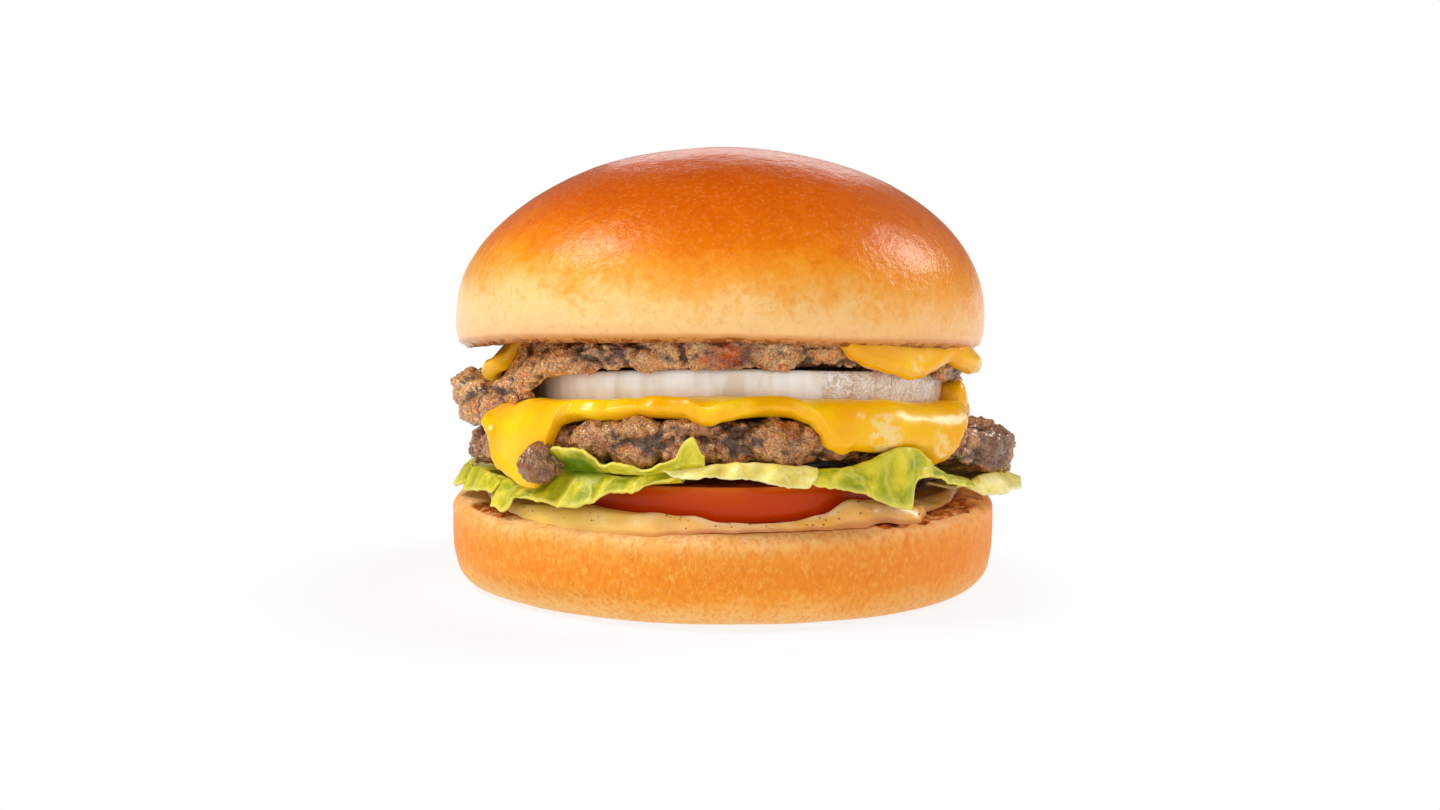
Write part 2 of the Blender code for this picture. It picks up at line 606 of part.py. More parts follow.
make_bottom_bun()
make_sauce()
make_tomato()
for leaf_name, leaf_values in LEAVES.items():
    make_leaf(leaf_name, *leaf_values)
make_patty("lower_patty", lower_patty_underside, lower_patty_top, LOWER_REACH, 3.7)
make_cheese("lower_cheese", lower_patty_underside, lower_patty_top, LOWER_REACH, LOWER_CHEESE_HANG)
make_onion()
make_patty("upper_patty", upper_patty_underside, upper_patty_top, UPPER_REACH, 11.2)
make_cheese("upper_cheese", upper_patty_underside, upper_patty_top, UPPER_REACH, UPPER_CHEESE_HANG)
make_top_bun()
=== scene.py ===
# %% [markdown]
# # A double hamburger, layer by layer
#
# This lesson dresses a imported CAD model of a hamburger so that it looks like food. The CAD solids
# give every layer its place and its size. Here each one is made again with finer relief and with a
# procedural finish: no picture is used, only shapes and noise that are worked out in code.
#
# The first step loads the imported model. Its nodes stay where they are, and each piece that is made
# below takes the place of one of them.

import math
import random

import bpy
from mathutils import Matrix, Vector, noise


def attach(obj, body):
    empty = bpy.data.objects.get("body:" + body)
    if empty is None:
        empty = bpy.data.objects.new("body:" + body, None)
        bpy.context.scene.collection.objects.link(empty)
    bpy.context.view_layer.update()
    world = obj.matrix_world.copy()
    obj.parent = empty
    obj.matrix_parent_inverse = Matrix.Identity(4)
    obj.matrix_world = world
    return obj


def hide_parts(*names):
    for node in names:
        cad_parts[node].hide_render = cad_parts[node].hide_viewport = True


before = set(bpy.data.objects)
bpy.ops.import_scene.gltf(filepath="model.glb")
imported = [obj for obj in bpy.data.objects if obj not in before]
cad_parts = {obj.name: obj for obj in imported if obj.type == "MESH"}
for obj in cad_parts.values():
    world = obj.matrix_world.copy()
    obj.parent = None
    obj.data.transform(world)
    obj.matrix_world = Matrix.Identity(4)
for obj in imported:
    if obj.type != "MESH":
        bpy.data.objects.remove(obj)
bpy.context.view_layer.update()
MM = 0.001
print("CAD nodes:", ", ".join(sorted(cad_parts)))

# %% [markdown]
# ## Words for a round thing
#
# A hamburger is a stack of round layers, so a place on it is best told as a distance from the axis
# and an azimuth: 0 degrees is the front, 90 the right, 180 the back. A table of a few stations says
# how a rim or a height changes round the stack, and the values in between are eased. Lengths are in
# millimetres until a mesh is written, because that is how a cook would measure a slice.

# %% Azimuths, stations and easing
def ease(share):
    share = min(max(share, 0.0), 1.0)
    return share * share * (3.0 - 2.0 * share)


def mix(low, high, share):
    return low + (high - low) * share


def polar(x, y):
    return math.hypot(x, y), math.degrees(math.atan2(x, -y))


def from_polar(radius, azimuth):
    turn = math.radians(azimuth)
    return radius * math.sin(turn), -radius * math.cos(turn)


def round_trip(*stations):
    """A function of the azimuth that eases through (azimuth, value) stations and closes on itself."""
    stations = sorted(((azimuth % 360.0, value) for azimuth, value in stations))
    stations = [(stations[-1][0] - 360.0, stations[-1][1]), *stations,
                (stations[0][0] + 360.0, stations[0][1])]
    steps = 1440
    table = []
    for step in range(steps + 1):
        azimuth = 360.0 * step / steps
        for (before, low), (after, high) in zip(stations, stations[1:]):
            if before <= azimuth <= after:
                table.append(mix(low, high, ease((azimuth - before) / (after - before))))
                break

    def at(azimuth):
        place = (azimuth % 360.0) * steps / 360.0
        step = int(place)
        return mix(table[step], table[min(step + 1, steps)], place - step)

    return at


def smooth_run(stations, place):
    """A rounded curve through (place, value) stations, held level past both ends."""
    if place <= stations[0][0]:
        return stations[0][1]
    last = len(stations) - 1
    for i in range(last):
        (before, low), (after, high) = stations[i], stations[i + 1]
        if place <= after:
            width = after - before
            share = (place - before) / width
            if i > 0:
                slope_in = (high - stations[i - 1][1]) / (after - stations[i - 1][0])
            else:
                slope_in = (high - low) / width
            if i + 2 <= last:
                slope_out = (stations[i + 2][1] - low) / (stations[i + 2][0] - before)
            else:
                slope_out = (high - low) / width
            square, cube = share * share, share * share * share
            return (low * (2.0 * cube - 3.0 * square + 1.0) + high * (3.0 * square - 2.0 * cube)
                    + width * (slope_in * (cube - 2.0 * square + share) + slope_out * (cube - square)))
    return stations[last][1]


def grain(spot, size, seed=0.0):
    """Soft noise from -1 to 1 whose lumps are about size millimetres wide."""
    return noise.noise(Vector((spot[0] / size + seed, spot[1] / size, spot[2] / size)))


print("halfway between 3 and 5 is", mix(3.0, 5.0, ease(0.5)))

# %% [markdown]
# ## How the layers lie on each other
#
# Every layer takes its height from the one below it. The heel of the bun is flat, the tomato and the
# sauce lie on it, the lower patty leans back a little because the front of the stack is thicker, and
# so on up to the crown. These are the same rules that the CAD solids follow, so the dressed pieces
# land on their solids without being fitted by hand.

# %% Heights of the layers
HEEL_RADIUS = 51.6
HEEL_HEIGHT = 17.1
HEEL_RIM_FLAT = 47.9
HEEL_RIM_DROP = 2.6
DECK_FRONT_HEIGHT = 29.5
STACK_LEAN = 0.0787
SAG_RADIUS = 50.0
GAP = 0.42
DRAPE_GAP = 0.65
SEAT_GAP = 0.6
CHEESE_THICKNESS = 1.6
LOWER_CORE_THICKNESS = 8.0
UPPER_CORE_THICKNESS = 6.3
ONION_CENTRE = (2.5, -3.0)
ONION_RADIUS = 40.0
ONION_THICKNESS = 5.6
ONION_BRIM = (1.0, 5.4)
TOMATO_CENTRE = (0.5, -10.5)
TOMATO_RADIUS = 34.5
TOMATO_UNDERSIDE = 18.3
TOMATO_FRONT_TOP = 24.8
TOMATO_LEAN = 0.035

deck_sag = round_trip((-180, 1.5), (-90, 3.8), (-45, 1.0), (0, 0.0), (35, 0.8), (88, 4.6), (140, 2.5))
lower_thickness = round_trip((-180, 7.5), (-88, 6.6), (-45, 7.6), (0, 8.1), (50, 7.8), (84, 9.8),
                             (130, 7.8))
upper_thickness = round_trip((-180, 6.0), (-130, 7.4), (-88, 10.5), (-66, 8.0), (-40, 6.3), (30, 6.2),
                             (56, 5.0), (75, 3.9), (90, 3.9), (130, 5.2))
upper_droop = round_trip((-180, 35.2), (-130, 34.6), (-88, 30.2), (-76, 31.2), (-66, 35.0), (-57, 36.8),
                         (-52, 38.8), (-47, 41.2), (-40, 42.8), (-35, 43.6), (-29, 44.6), (-7, 46.0),
                         (6, 46.0), (29, 44.4), (50, 42.8), (64, 39.6), (85, 36.6), (130, 37.0))


def beyond(x, y, centre, radius):
    """How far a point lies outside a slice."""
    return math.hypot(x - centre[0], y - centre[1]) - radius


def sagging(x, y):
    return (x * x + y * y) / SAG_RADIUS ** 2


def heel_top(radius):
    over = min(max((radius - HEEL_RIM_FLAT) / (HEEL_RADIUS - HEEL_RIM_FLAT), 0.0), 1.0)
    return HEEL_HEIGHT - HEEL_RIM_DROP * (1.0 - math.sqrt(1.0 - over * over))


def tomato_top(y):
    return TOMATO_FRONT_TOP - TOMATO_LEAN * (y - TOMATO_CENTRE[1] + TOMATO_RADIUS)


def lower_patty_underside(x, y):
    lean = STACK_LEAN * (y + HEEL_RIM_FLAT)
    return DECK_FRONT_HEIGHT - lean - deck_sag(polar(x, y)[1]) * sagging(x, y)


def lower_patty_top(x, y):
    swell = lower_thickness(polar(x, y)[1]) - LOWER_CORE_THICKNESS
    return lower_patty_underside(x, y) + LOWER_CORE_THICKNESS + swell * sagging(x, y)


def onion_underside(x, y):
    return lower_patty_top(x, y) + DRAPE_GAP + CHEESE_THICKNESS + GAP


def onion_top(x, y):
    return onion_underside(x, y) + ONION_THICKNESS


def upper_patty_underside(x, y):
    start, end = ONION_BRIM
    on_onion = onion_top(x, y) + SEAT_GAP
    droop = min(upper_droop(polar(x, y)[1]) - on_onion, 0.0)
    share = (beyond(x, y, ONION_CENTRE, ONION_RADIUS) - start) / (end - start)
    return on_onion + droop * min(max(share, 0.0), 1.0)


def upper_patty_top(x, y):
    swell = upper_thickness(polar(x, y)[1]) - UPPER_CORE_THICKNESS
    return upper_patty_underside(x, y) + UPPER_CORE_THICKNESS + swell * sagging(x, y)


print("the lower patty starts at", round(lower_patty_underside(0.0, -47.0), 1), "mm in front")

# %% [markdown]
# ## Turning a layer
#
# A potter's wheel is the right tool for a bun or a slice: a list of rings, from the middle of the
# top to the middle of the underside, closed round the axis. Blender's Screw modifier does the same
# with a drawn profile. Here the rings are written straight into a mesh instead, because each point
# then passes through a small function that pushes it in or out, and can carry a number with it that
# the finish reads later, such as how browned or how deep in a crease it is.

# %% A helper that turns rings into a skin
def write_marks(mesh, marks):
    """Stores lists of numbers, one per point, under the names that the finishes read."""
    for name, values in marks.items():
        mark = mesh.attributes.new(name, "FLOAT", "POINT")
        mark.data.foreach_set("value", values)


def show(name, mesh, node, finish):
    """Puts a mesh in the scene as the piece that stands for a CAD node."""
    mesh.shade_smooth()
    mesh.materials.append(finish)
    piece = bpy.data.objects.new(name, mesh)
    bpy.context.scene.collection.objects.link(piece)
    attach(piece, "root")
    if node:
        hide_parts(node)
    return piece


def turn(name, rings, columns, place):
    """A closed skin. place(share, level, azimuth) gives a point in millimetres and its marks."""
    points, marks, faces = [], {}, []

    def put(share, level, azimuth):
        point, found = place(share, level, azimuth)
        points.append([value * MM for value in point])
        for key, value in found.items():
            marks.setdefault(key, []).append(value)

    put(*rings[0], 0.0)
    for share, level in rings[1:-1]:
        for column in range(columns):
            put(share, level, 360.0 * column / columns - 180.0)
    put(*rings[-1], 0.0)
    last = len(points) - 1
    for row in range(len(rings) - 2):
        start = 1 + row * columns
        for column in range(columns):
            after = (column + 1) % columns
            if row == 0:
                faces.append((0, start + column, start + after))
            else:
                above = start - columns
                faces.append((above + column, start + column, start + after, above + after))
    bottom = last - columns
    for column in range(columns):
        faces.append((bottom + column, last, bottom + (column + 1) % columns))
    mesh = bpy.data.meshes.new(name)
    mesh.from_pydata(points, [], faces)
    mesh.validate()
    write_marks(mesh, marks)
    print(f"{name}: {len(points)} points, {2 * columns * (len(rings) - 2)} triangles")
    return mesh


def slab_rings(inner, edge, rim_points, fullness=1.0):
    """Rings of a disc of radius 1 from its top to its underside, with a rounded rim."""
    flat = [*inner, 1.0 - edge]
    rim = []
    for step in range(1, rim_points + 1):
        angle = math.pi * step / (rim_points + 1)
        level = math.copysign(abs(math.cos(angle)) ** fullness, math.cos(angle))
        rim.append((1.0 - edge + edge * math.sin(angle) ** fullness, level))
    return [(ring, 1.0) for ring in flat] + rim + [(ring, -1.0) for ring in reversed(flat)]


# %% [markdown]
# ## Short words for finishes
#
# A finish is a Principled shader whose colour, roughness and bump come from noise. The same few
# nodes return in every food: soft noise for blotches, cells for grains and pores, a ramp that turns
# a number into a colour, and a bump. A small class gives each of them one word, so that a finish
# reads like a recipe. Sizes are in millimetres, measured on the piece itself, so that a pore stays
# as large as a pore from every side.

# %% The finish helper
def srgb(red, green, blue):
    """A colour as seen on a screen, 0 to 255, in the linear numbers that light is mixed in."""
    values = []
    for part in (red, green, blue):
        part /= 255.0
        values.append(part / 12.92 if part <= 0.04045 else ((part + 0.055) / 1.055) ** 2.4)
    return (*values, 1.0)


class Finish:
    def __init__(self, name, **shader_values):
        self.material = bpy.data.materials.new(name)
        self.material.use_nodes = True
        self.tree = self.material.node_tree
        self.shader = self.tree.nodes["Principled BSDF"]
        for key, value in shader_values.items():
            self.shader.inputs[key.replace("_", " ")].default_value = value
        metres = self.add("ShaderNodeTexCoord").outputs["Object"]
        self.place = self.vector("SCALE", {0: metres, "Scale": 1.0 / MM})
        self.x, self.y, self.z = self.add("ShaderNodeSeparateXYZ", {0: self.place}).outputs

    def add(self, kind, inputs=None, **settings):
        made = self.tree.nodes.new(kind)
        for key, value in settings.items():
            setattr(made, key, value)
        for key, value in (inputs or {}).items():
            if isinstance(value, bpy.types.NodeSocket):
                self.tree.links.new(value, made.inputs[key])
            else:
                made.inputs[key].default_value = value
        return made

    def vector(self, operation, inputs):
        return self.add("ShaderNodeVectorMath", inputs, operation=operation).outputs["Vector"]

    def stretched(self, x, y, z):
        return self.vector("MULTIPLY", {0: self.place, 1: (x, y, z)})

    def blotches(self, size, detail=3.0, rough=0.5, where=None, warp=0.0):
        return self.add("ShaderNodeTexNoise", {"Vector": where or self.place, "Scale": 1.0 / size,
                                               "Detail": detail, "Roughness": rough,
                                               "Distortion": warp}).outputs["Fac"]

    def bend(self, scale, where):
        """A soft random direction, to bend other patterns with."""
        made = self.add("ShaderNodeTexNoise", {"Vector": where, "Scale": scale, "Detail": 3.0})
        return made.outputs["Color"]

    def cells(self, size, feature="F1", where=None, output="Distance"):
        made = self.add("ShaderNodeTexVoronoi", {"Vector": where or self.place, "Scale": 1.0 / size},
                        feature=feature)
        return made.outputs[output]

    def mark(self, name):
        return self.add("ShaderNodeAttribute", attribute_name=name).outputs["Fac"]

    def math(self, operation, first, second=0.0):
        return self.add("ShaderNodeMath", {0: first, 1: second}, operation=operation).outputs[0]

    def scaled(self, value, factor):
        return self.math("MULTIPLY", value, factor)

    def ramp(self, value, *stops):
        """Colours for a number: stops are (position, colour) pairs."""
        made = self.add("ShaderNodeValToRGB", {"Fac": value})
        line = made.color_ramp
        while len(line.elements) < len(stops):
            line.elements.new(1.0)
        for element, (position, colour) in zip(line.elements, stops):
            element.position = position
            element.color = colour
        return made.outputs["Color"]

    def range(self, value, low, high, to_low=0.0, to_high=1.0):
        """Spreads the part of a number between low and high over a new range, eased at both ends."""
        return self.add("ShaderNodeMapRange", {"Value": value, "From Min": low, "From Max": high,
                                               "To Min": to_low, "To Max": to_high},
                        interpolation_type="SMOOTHSTEP").outputs["Result"]

    def near(self, spot, inner, outer, to_inner, to_outer):
        """One value within inner millimetres of a spot, another beyond outer."""
        away = self.add("ShaderNodeVectorMath", {0: self.place, 1: spot}, operation="DISTANCE")
        return self.range(away.outputs["Value"], inner, outer, to_inner, to_outer)

    def blend(self, share, low, high):
        return self.add("ShaderNodeMix", {0: share, 6: low, 7: high}, data_type="RGBA").outputs[2]

    def colour(self, value):
        self.tree.links.new(value, self.shader.inputs["Base Color"])

    def roughness(self, value):
        self.tree.links.new(value, self.shader.inputs["Roughness"])

    def bump(self, *layers):
        """Each layer is (height, depth in millimetres). Fine ones come last."""
        normal = None
        for height, depth in layers:
            inputs = {"Height": height, "Distance": depth * MM, "Strength": 1.0}
            if normal is not None:
                inputs["Normal"] = normal
            normal = self.add("ShaderNodeBump", inputs).outputs["Normal"]
        self.tree.links.new(normal, self.shader.inputs["Normal"])


# %% [markdown]
# ## The heel: the bottom half of the bun
#
# The heel is a soft cushion with a flat foot, a full side and a cut face whose rim rolls over. Its
# side has fine upright wrinkles from cooling and a few pinched folds where the sauce weighs on the
# rim. A smooth cylinder with rounded edges would look like plastic, so each point of the turned
# skin is pushed by slow swells, by wrinkles that fade at the foot, and by the crumb of the cut face.

# %% Shape of the heel
HEEL_FOOT_RADIUS = 46.0
HEEL_CORNER = 4.6
heel_tuck = round_trip((-180, 0.5), (-75, 0.6), (-50, 2.0), (-30, 2.7), (0, 2.4), (20, 1.2), (38, 0.2))
heel_torn = round_trip((-180, 0.2), (-120, 0.3), (-90, 0.2), (-74, 0.15), (-66, 0.8), (-57, 0.7),
                       (-50, 0.0), (30, 0.0), (40, 0.9), (70, 1.0), (80, 0.5), (92, 0.2), (130, 0.3))
HEEL_FOLDS = [(29.5, 15.8, 3.4, 0.15), (33.5, 15.2, 4.2, 0.3), (39.5, 14.8, 5.2, 0.35),
              (42.5, 14.0, 4.0, 0.2), (50.0, 13.8, 4.6, 0.25)]


def heel_rings():
    rings = [(radius, heel_top(radius)) for radius in (0.0, 15.0, 25.0, 32.0, 37.0)]
    rings += [(radius, HEEL_HEIGHT) for radius in [37.0 + 0.6 * step for step in range(1, 19)]]
    for step in range(1, 17):
        over = math.sin(0.5 * math.pi * step / 16.0)
        radius = HEEL_RIM_FLAT + (HEEL_RADIUS - HEEL_RIM_FLAT) * over
        rings.append((radius, heel_top(radius)))
    side = [(4.6, 51.1), (7.0, 51.45), (9.4, 51.6), (12.0, 51.62), (heel_top(HEEL_RADIUS), HEEL_RADIUS)]
    for step in range(1, 23):
        height = mix(heel_top(HEEL_RADIUS), HEEL_CORNER, step / 22.0)
        rings.append((smooth_run(side, height), height))
    for step in range(1, 15):
        angle = 0.5 * math.pi * step / 14.0
        radius = HEEL_FOOT_RADIUS + (51.1 - HEEL_FOOT_RADIUS) * math.cos(angle)
        rings.append((radius, HEEL_CORNER * (1.0 - math.sin(angle))))
    return rings + [(40.0, 0.0), (25.0, 0.0), (0.0, 0.0)]


def heel_place(radius, z, azimuth):
    angle = math.radians(azimuth)
    swell = 0.3 * math.sin(2.0 * angle - 2.2) - 0.15 * math.sin(5.0 * angle)
    tuck = heel_tuck(azimuth) * (1.0 - ease(z / (1.6 * HEEL_CORNER)))
    x, y = from_polar(radius, azimuth)
    spot = (x, y, z)
    side = ease((radius - 49.0) / 2.0) * ease(z / 3.0)
    near_rim = ease((z - 8.0) / 5.0)
    wrinkle = (0.07 + 0.10 * near_rim) * grain((x, y, 0.3 * z), 1.9, 4.0) + 0.12 * grain(spot, 9.0, 1.0)
    fold = 0.0
    for at, height, length, depth in HEEL_FOLDS:
        across = azimuth - at - 0.5 * math.sin(1.3 * z)
        fold += depth * math.exp(-(across / 0.75) ** 2) * math.exp(-((z - height) / (0.5 * length)) ** 2)
    push = (swell - tuck) * ease((radius - 30.0) / 18.0) + side * (wrinkle - fold)
    on_face = ease((z - 14.2) / 1.4) * ease((radius - 36.0) / 2.0)
    torn = heel_torn(azimuth) * ease((radius - 40.0) / 2.5) * on_face
    torn *= 1.0 - ease((radius - 49.4 - 0.5 * grain(spot, 2.5, 4.0)) / 1.2)
    crumb = noise.voronoi(Vector(spot) / 2.1)[0][0]
    rise = torn * (0.8 * grain(spot, 3.6, 7.0) - 0.6 * (crumb - 0.45) + 0.3 * grain(spot, 1.4, 7.0))
    rise += 0.12 * on_face * grain(spot, 5.0, 2.0)
    x, y = from_polar(radius + push, azimuth)
    return (x, y, max(z + min(rise, 0.4), 0.0)), {"torn": torn, "creased": min(2.0 * fold, 1.0)}


heel_mesh = turn("bottom_bun_crust", heel_rings(), 480, heel_place)

# %% [markdown]
# ## Finish of the heel
#
# The side of a soft bun is never one colour: a pale upper rim, a golden-orange belt where it touched
# the hot tin, and a paler foot, all mottled with fine upright streaks. Height gives the belt, noise
# breaks its borders, and the marks from the shape step colour the torn, toasted cut face and paint
# shade into the pinched folds.

# %% Heel crust
heel_look = Finish("heel_crust", Roughness=0.5, Subsurface_Weight=0.15, Subsurface_Scale=0.002,
                   Specular_IOR_Level=0.22, Subsurface_Radius=(1.0, 0.5, 0.2))
wander = heel_look.math("SUBTRACT", heel_look.blotches(7.0, 5.0, 0.65), 0.5)
height = heel_look.math("ADD", heel_look.z, heel_look.scaled(wander, 6.0))
belt = heel_look.ramp(heel_look.math("DIVIDE", height, 17.5),
                      (0.0, srgb(248, 200, 128)), (0.16, srgb(246, 186, 98)), (0.34, srgb(241, 152, 38)),
                      (0.56, srgb(238, 138, 22)), (0.76, srgb(240, 154, 50)), (0.88, srgb(245, 180, 98)),
                      (1.0, srgb(250, 204, 144)))
streaks = heel_look.blotches(0.9, 4.0, 0.65, heel_look.stretched(1.0, 1.0, 0.55))
mottled = heel_look.blend(heel_look.range(streaks, 0.44, 0.63, 0.0, 0.55), belt, srgb(230, 121, 17))
pale = heel_look.blotches(0.9, 5.0, 0.7, heel_look.stretched(1.0, 1.0, 0.7))
mottled = heel_look.blend(heel_look.range(pale, 0.48, 0.69, 0.0, 0.5), mottled, srgb(253, 196, 100))
# the heel is made darker and redder towards its right side
redder_to_the_right = heel_look.range(heel_look.x, -10.0, 50.0, 0.0, 0.35)
mottled = heel_look.blend(redder_to_the_right, mottled, srgb(226, 124, 48))
toasted = heel_look.ramp(heel_look.blotches(2.0, 5.0, 0.7),
                         (0.34, srgb(126, 44, 18)), (0.46, srgb(190, 82, 34)), (0.58, srgb(232, 144, 74)),
                         (0.68, srgb(252, 212, 162)))
mottled = heel_look.blend(heel_look.range(heel_look.mark("torn"), 0.15, 0.5), mottled, toasted)
# painted shade: the pinched folds are darkened towards a deep orange
heel_look.colour(heel_look.blend(heel_look.range(heel_look.mark("creased"), 0.1, 1.0, 0.0, 0.7),
                                 mottled, srgb(206, 100, 30)))
heel_look.roughness(heel_look.range(heel_look.mark("torn"), 0.15, 0.5, 0.5, 0.2))
heel_look.bump((heel_look.blotches(1.7, 4.0, 0.6, heel_look.stretched(1.0, 1.0, 0.4)), 0.34),
               (heel_look.blotches(0.5, 2.0, 0.6), 0.06))
show("bottom_bun_crust", heel_mesh, "bottom_bun", heel_look.material)

# %% [markdown]
# ## The sauce
#
# The sauce is a thick orange-beige cream. It fills the space round the tomato and spills over the
# rim of the heel in slow tongues with a rounded edge. It could be a fluid simulation, but a skin
# whose outer edge wanders and whose thickness falls off like a drop gives the same look and is the
# same on every run.

# %% Shape of the sauce
sauce_reach = round_trip((-180, 44.5), (-150, 46.2), (-120, 45.0), (-95, 46.4), (-74, 45.2), (-60, 46.8),
                         (-52, 48.4), (-42, 49.2), (-29, 49.8), (-16, 50.0), (-9, 49.2), (-4, 48.4),
                         (12, 48.1), (24, 48.5), (31, 48.9), (36, 47.9), (41, 49.4), (45, 49.9),
                         (49, 48.2), (54, 46.2), (80, 44.8), (110, 46.2), (145, 44.6))
sauce_heap = round_trip((-180, 1.2), (-95, 1.2), (-62, 1.5), (-50, 2.6), (-34, 3.5), (-16, 3.2),
                        (-7, 2.8), (0, 1.6), (14, 1.6), (22, 2.3), (29, 5.0), (34, 4.6), (40, 3.4),
                        (46, 2.6), (62, 1.3))
SAUCE_FILM = 0.8
SAUCE_SINK = 0.25


def tomato_rim(azimuth):
    """Distance from the axis to the rim of the tomato, which isn't centred on it."""
    out_x, out_y = from_polar(1.0, azimuth)
    along = TOMATO_CENTRE[0] * out_x + TOMATO_CENTRE[1] * out_y
    across = TOMATO_CENTRE[0] * out_y - TOMATO_CENTRE[1] * out_x
    return along + math.sqrt(TOMATO_RADIUS ** 2 - across * across)


def sauce_place(share, level, azimuth):
    reach = sauce_reach(azimuth) + 0.4 * grain((azimuth / 3.0, 0.0, 0.0), 1.4)
    foot = min(tomato_rim(azimuth) + 0.55, reach - 2.4)
    if share < 0.5:
        radius = foot * share / 0.5
    else:
        radius = mix(foot, reach, (share - 0.5) / 0.5)
    x, y = from_polar(radius, azimuth)
    outside = ease((radius - foot) / 1.7)
    heap = (sauce_heap(azimuth) - SAUCE_FILM) * outside
    slope = 1.0 - 0.35 * ease((radius - foot) / max(reach - foot, 0.1))
    swirl = math.sin(1.5 * radius + 2.2 * grain((x, y, 0.0), 12.0, 8.0))
    ripple = (0.26 * grain((x, y, 0.0), 5.0, 3.0) + 0.16 * swirl) * outside
    edge = min((reach - radius) / 2.0, 1.0)
    drop = math.sqrt(max(1.0 - (1.0 - edge) ** 2, 0.0))
    low = heel_top(min(radius, HEEL_RADIUS - 0.3)) + SAUCE_SINK - 0.35 * ease((radius - 48.0) / 1.5)
    thick = (SAUCE_FILM + heap * slope + ripple) * drop
    if level < 0.0:
        return (x, y, low), {"thin": 0.0, "ridge": 0.0}
    return (x, y, low + max(thick, 0.04)), {"thin": 1.0 - edge, "ridge": ripple * 3.0 * drop}


sauce_rings = [(share, 1.0) for share in (0.0, 0.3, 0.46, 0.5)]
sauce_rings += [(0.5 + 0.5 * math.sin(0.5 * math.pi * step / 32.0), 1.0) for step in range(1, 33)]
sauce_rings += [(share, -1.0) for share in (0.99, 0.9, 0.7, 0.5, 0.3, 0.0)]
sauce_mesh = turn("burger_sauce", sauce_rings, 480, sauce_place)

# %% [markdown]
# ## Finish of the sauce
#
# A mayonnaise sauce is smooth and wet with a satin gloss, and light goes a little way into it. Where
# it runs thin it shows the bun through, so it turns warmer at its edge, and a painted shadow darkens
# the very edge as a line under its rounded lip. Paler streaks on its ripples are a painted highlight,
# and its left part is painted lighter where the leaves shade it. The pepper in it is made as real
# flecks further on; only the faintest herbs are painted here.

# %% Sauce
sauce_look = Finish("burger_sauce", Roughness=0.24, Subsurface_Weight=0.3, Subsurface_Scale=0.002,
                    Specular_IOR_Level=0.4, Coat_Weight=0.2, Coat_Roughness=0.12,
                    Subsurface_Radius=(1.0, 0.55, 0.25))
cream = sauce_look.ramp(sauce_look.blotches(5.0, 3.0, 0.5),
                        (0.35, srgb(246, 184, 88)), (0.5, srgb(250, 192, 108)), (0.64, srgb(252, 206, 146)))
# painted highlight: pale whitish-pink streaks on the ripple crests
cream = sauce_look.blend(sauce_look.range(sauce_look.mark("ridge"), 0.1, 0.8, 0.0, 0.6), cream,
                         srgb(254, 220, 186))
# warmer where the sauce runs thin over the bun, and darkened further as painted shade at the lip
cream = sauce_look.blend(sauce_look.range(sauce_look.mark("thin"), 0.5, 1.0, 0.0, 0.5), cream,
                         srgb(240, 164, 66))
# painted shade: a dark line right at the edge, under the rounded lip
cream = sauce_look.blend(sauce_look.range(sauce_look.mark("thin"), 0.86, 1.0, 0.0, 0.8), cream,
                         srgb(196, 112, 40))
# painted light: the left part of the sauce, shaded by the leaves, is lightened towards yellow
cream = sauce_look.blend(sauce_look.range(sauce_look.x, -8.0, -32.0, 0.0, 0.7), cream, srgb(255, 214, 100))
herbs = sauce_look.range(sauce_look.cells(2.2), 0.05, 0.12, 1.0, 0.0)
some = sauce_look.range(sauce_look.cells(2.2, output="Color"), 0.5, 0.52)
herbs = sauce_look.scaled(herbs, some)
sauce_look.colour(sauce_look.blend(sauce_look.scaled(herbs, 0.6), cream, srgb(120, 84, 40)))
sauce_look.bump((sauce_look.blotches(3.0, 3.0, 0.5), 0.3), (sauce_look.blotches(0.7, 2.0, 0.5), 0.03))
show("burger_sauce", sauce_mesh, "sauce", sauce_look.material)

# %% [markdown]
# ## The tomato slice
#
# A thick slice of a beef tomato: a belt of shiny skin, slightly full, between two cut faces. The cut
# edge is crisp, and right behind it the wet flesh dips a little. One turned skin is enough.

# %% Shape of the tomato
def tomato_place(share, level, azimuth):
    side = max(share - 0.965, 0.0) / 0.035
    bulge = 0.35 * (1.0 - level * level) * side
    wobble = 1.0 + 0.006 * math.sin(math.radians(5.0 * azimuth + 40.0)) * ease(share)
    turned_x, turned_y = from_polar((share * TOMATO_RADIUS + bulge - 0.25) * wobble, azimuth)
    x, y = TOMATO_CENTRE[0] + turned_x, TOMATO_CENTRE[1] + turned_y
    dip = 0.22 * ease((0.985 - share) / 0.03) * max(level, 0.0)
    flesh = 0.12 * grain((x, y, 0.0), 2.5) * ease((0.96 - share) / 0.05)
    height = mix(TOMATO_UNDERSIDE, tomato_top(y), 0.5 * (level + 1.0)) - dip + flesh
    return (x, y, height), {"skin": ease((side - 0.25) / 0.3), "up": 0.5 * (level + 1.0)}


tomato_rings = slab_rings([0.0, 0.3, 0.6, 0.75, 0.85, 0.9, 0.93, 0.95, 0.96], 0.035, 22, 0.4)
tomato_mesh = turn("tomato_slice_skin", tomato_rings, 300, tomato_place)
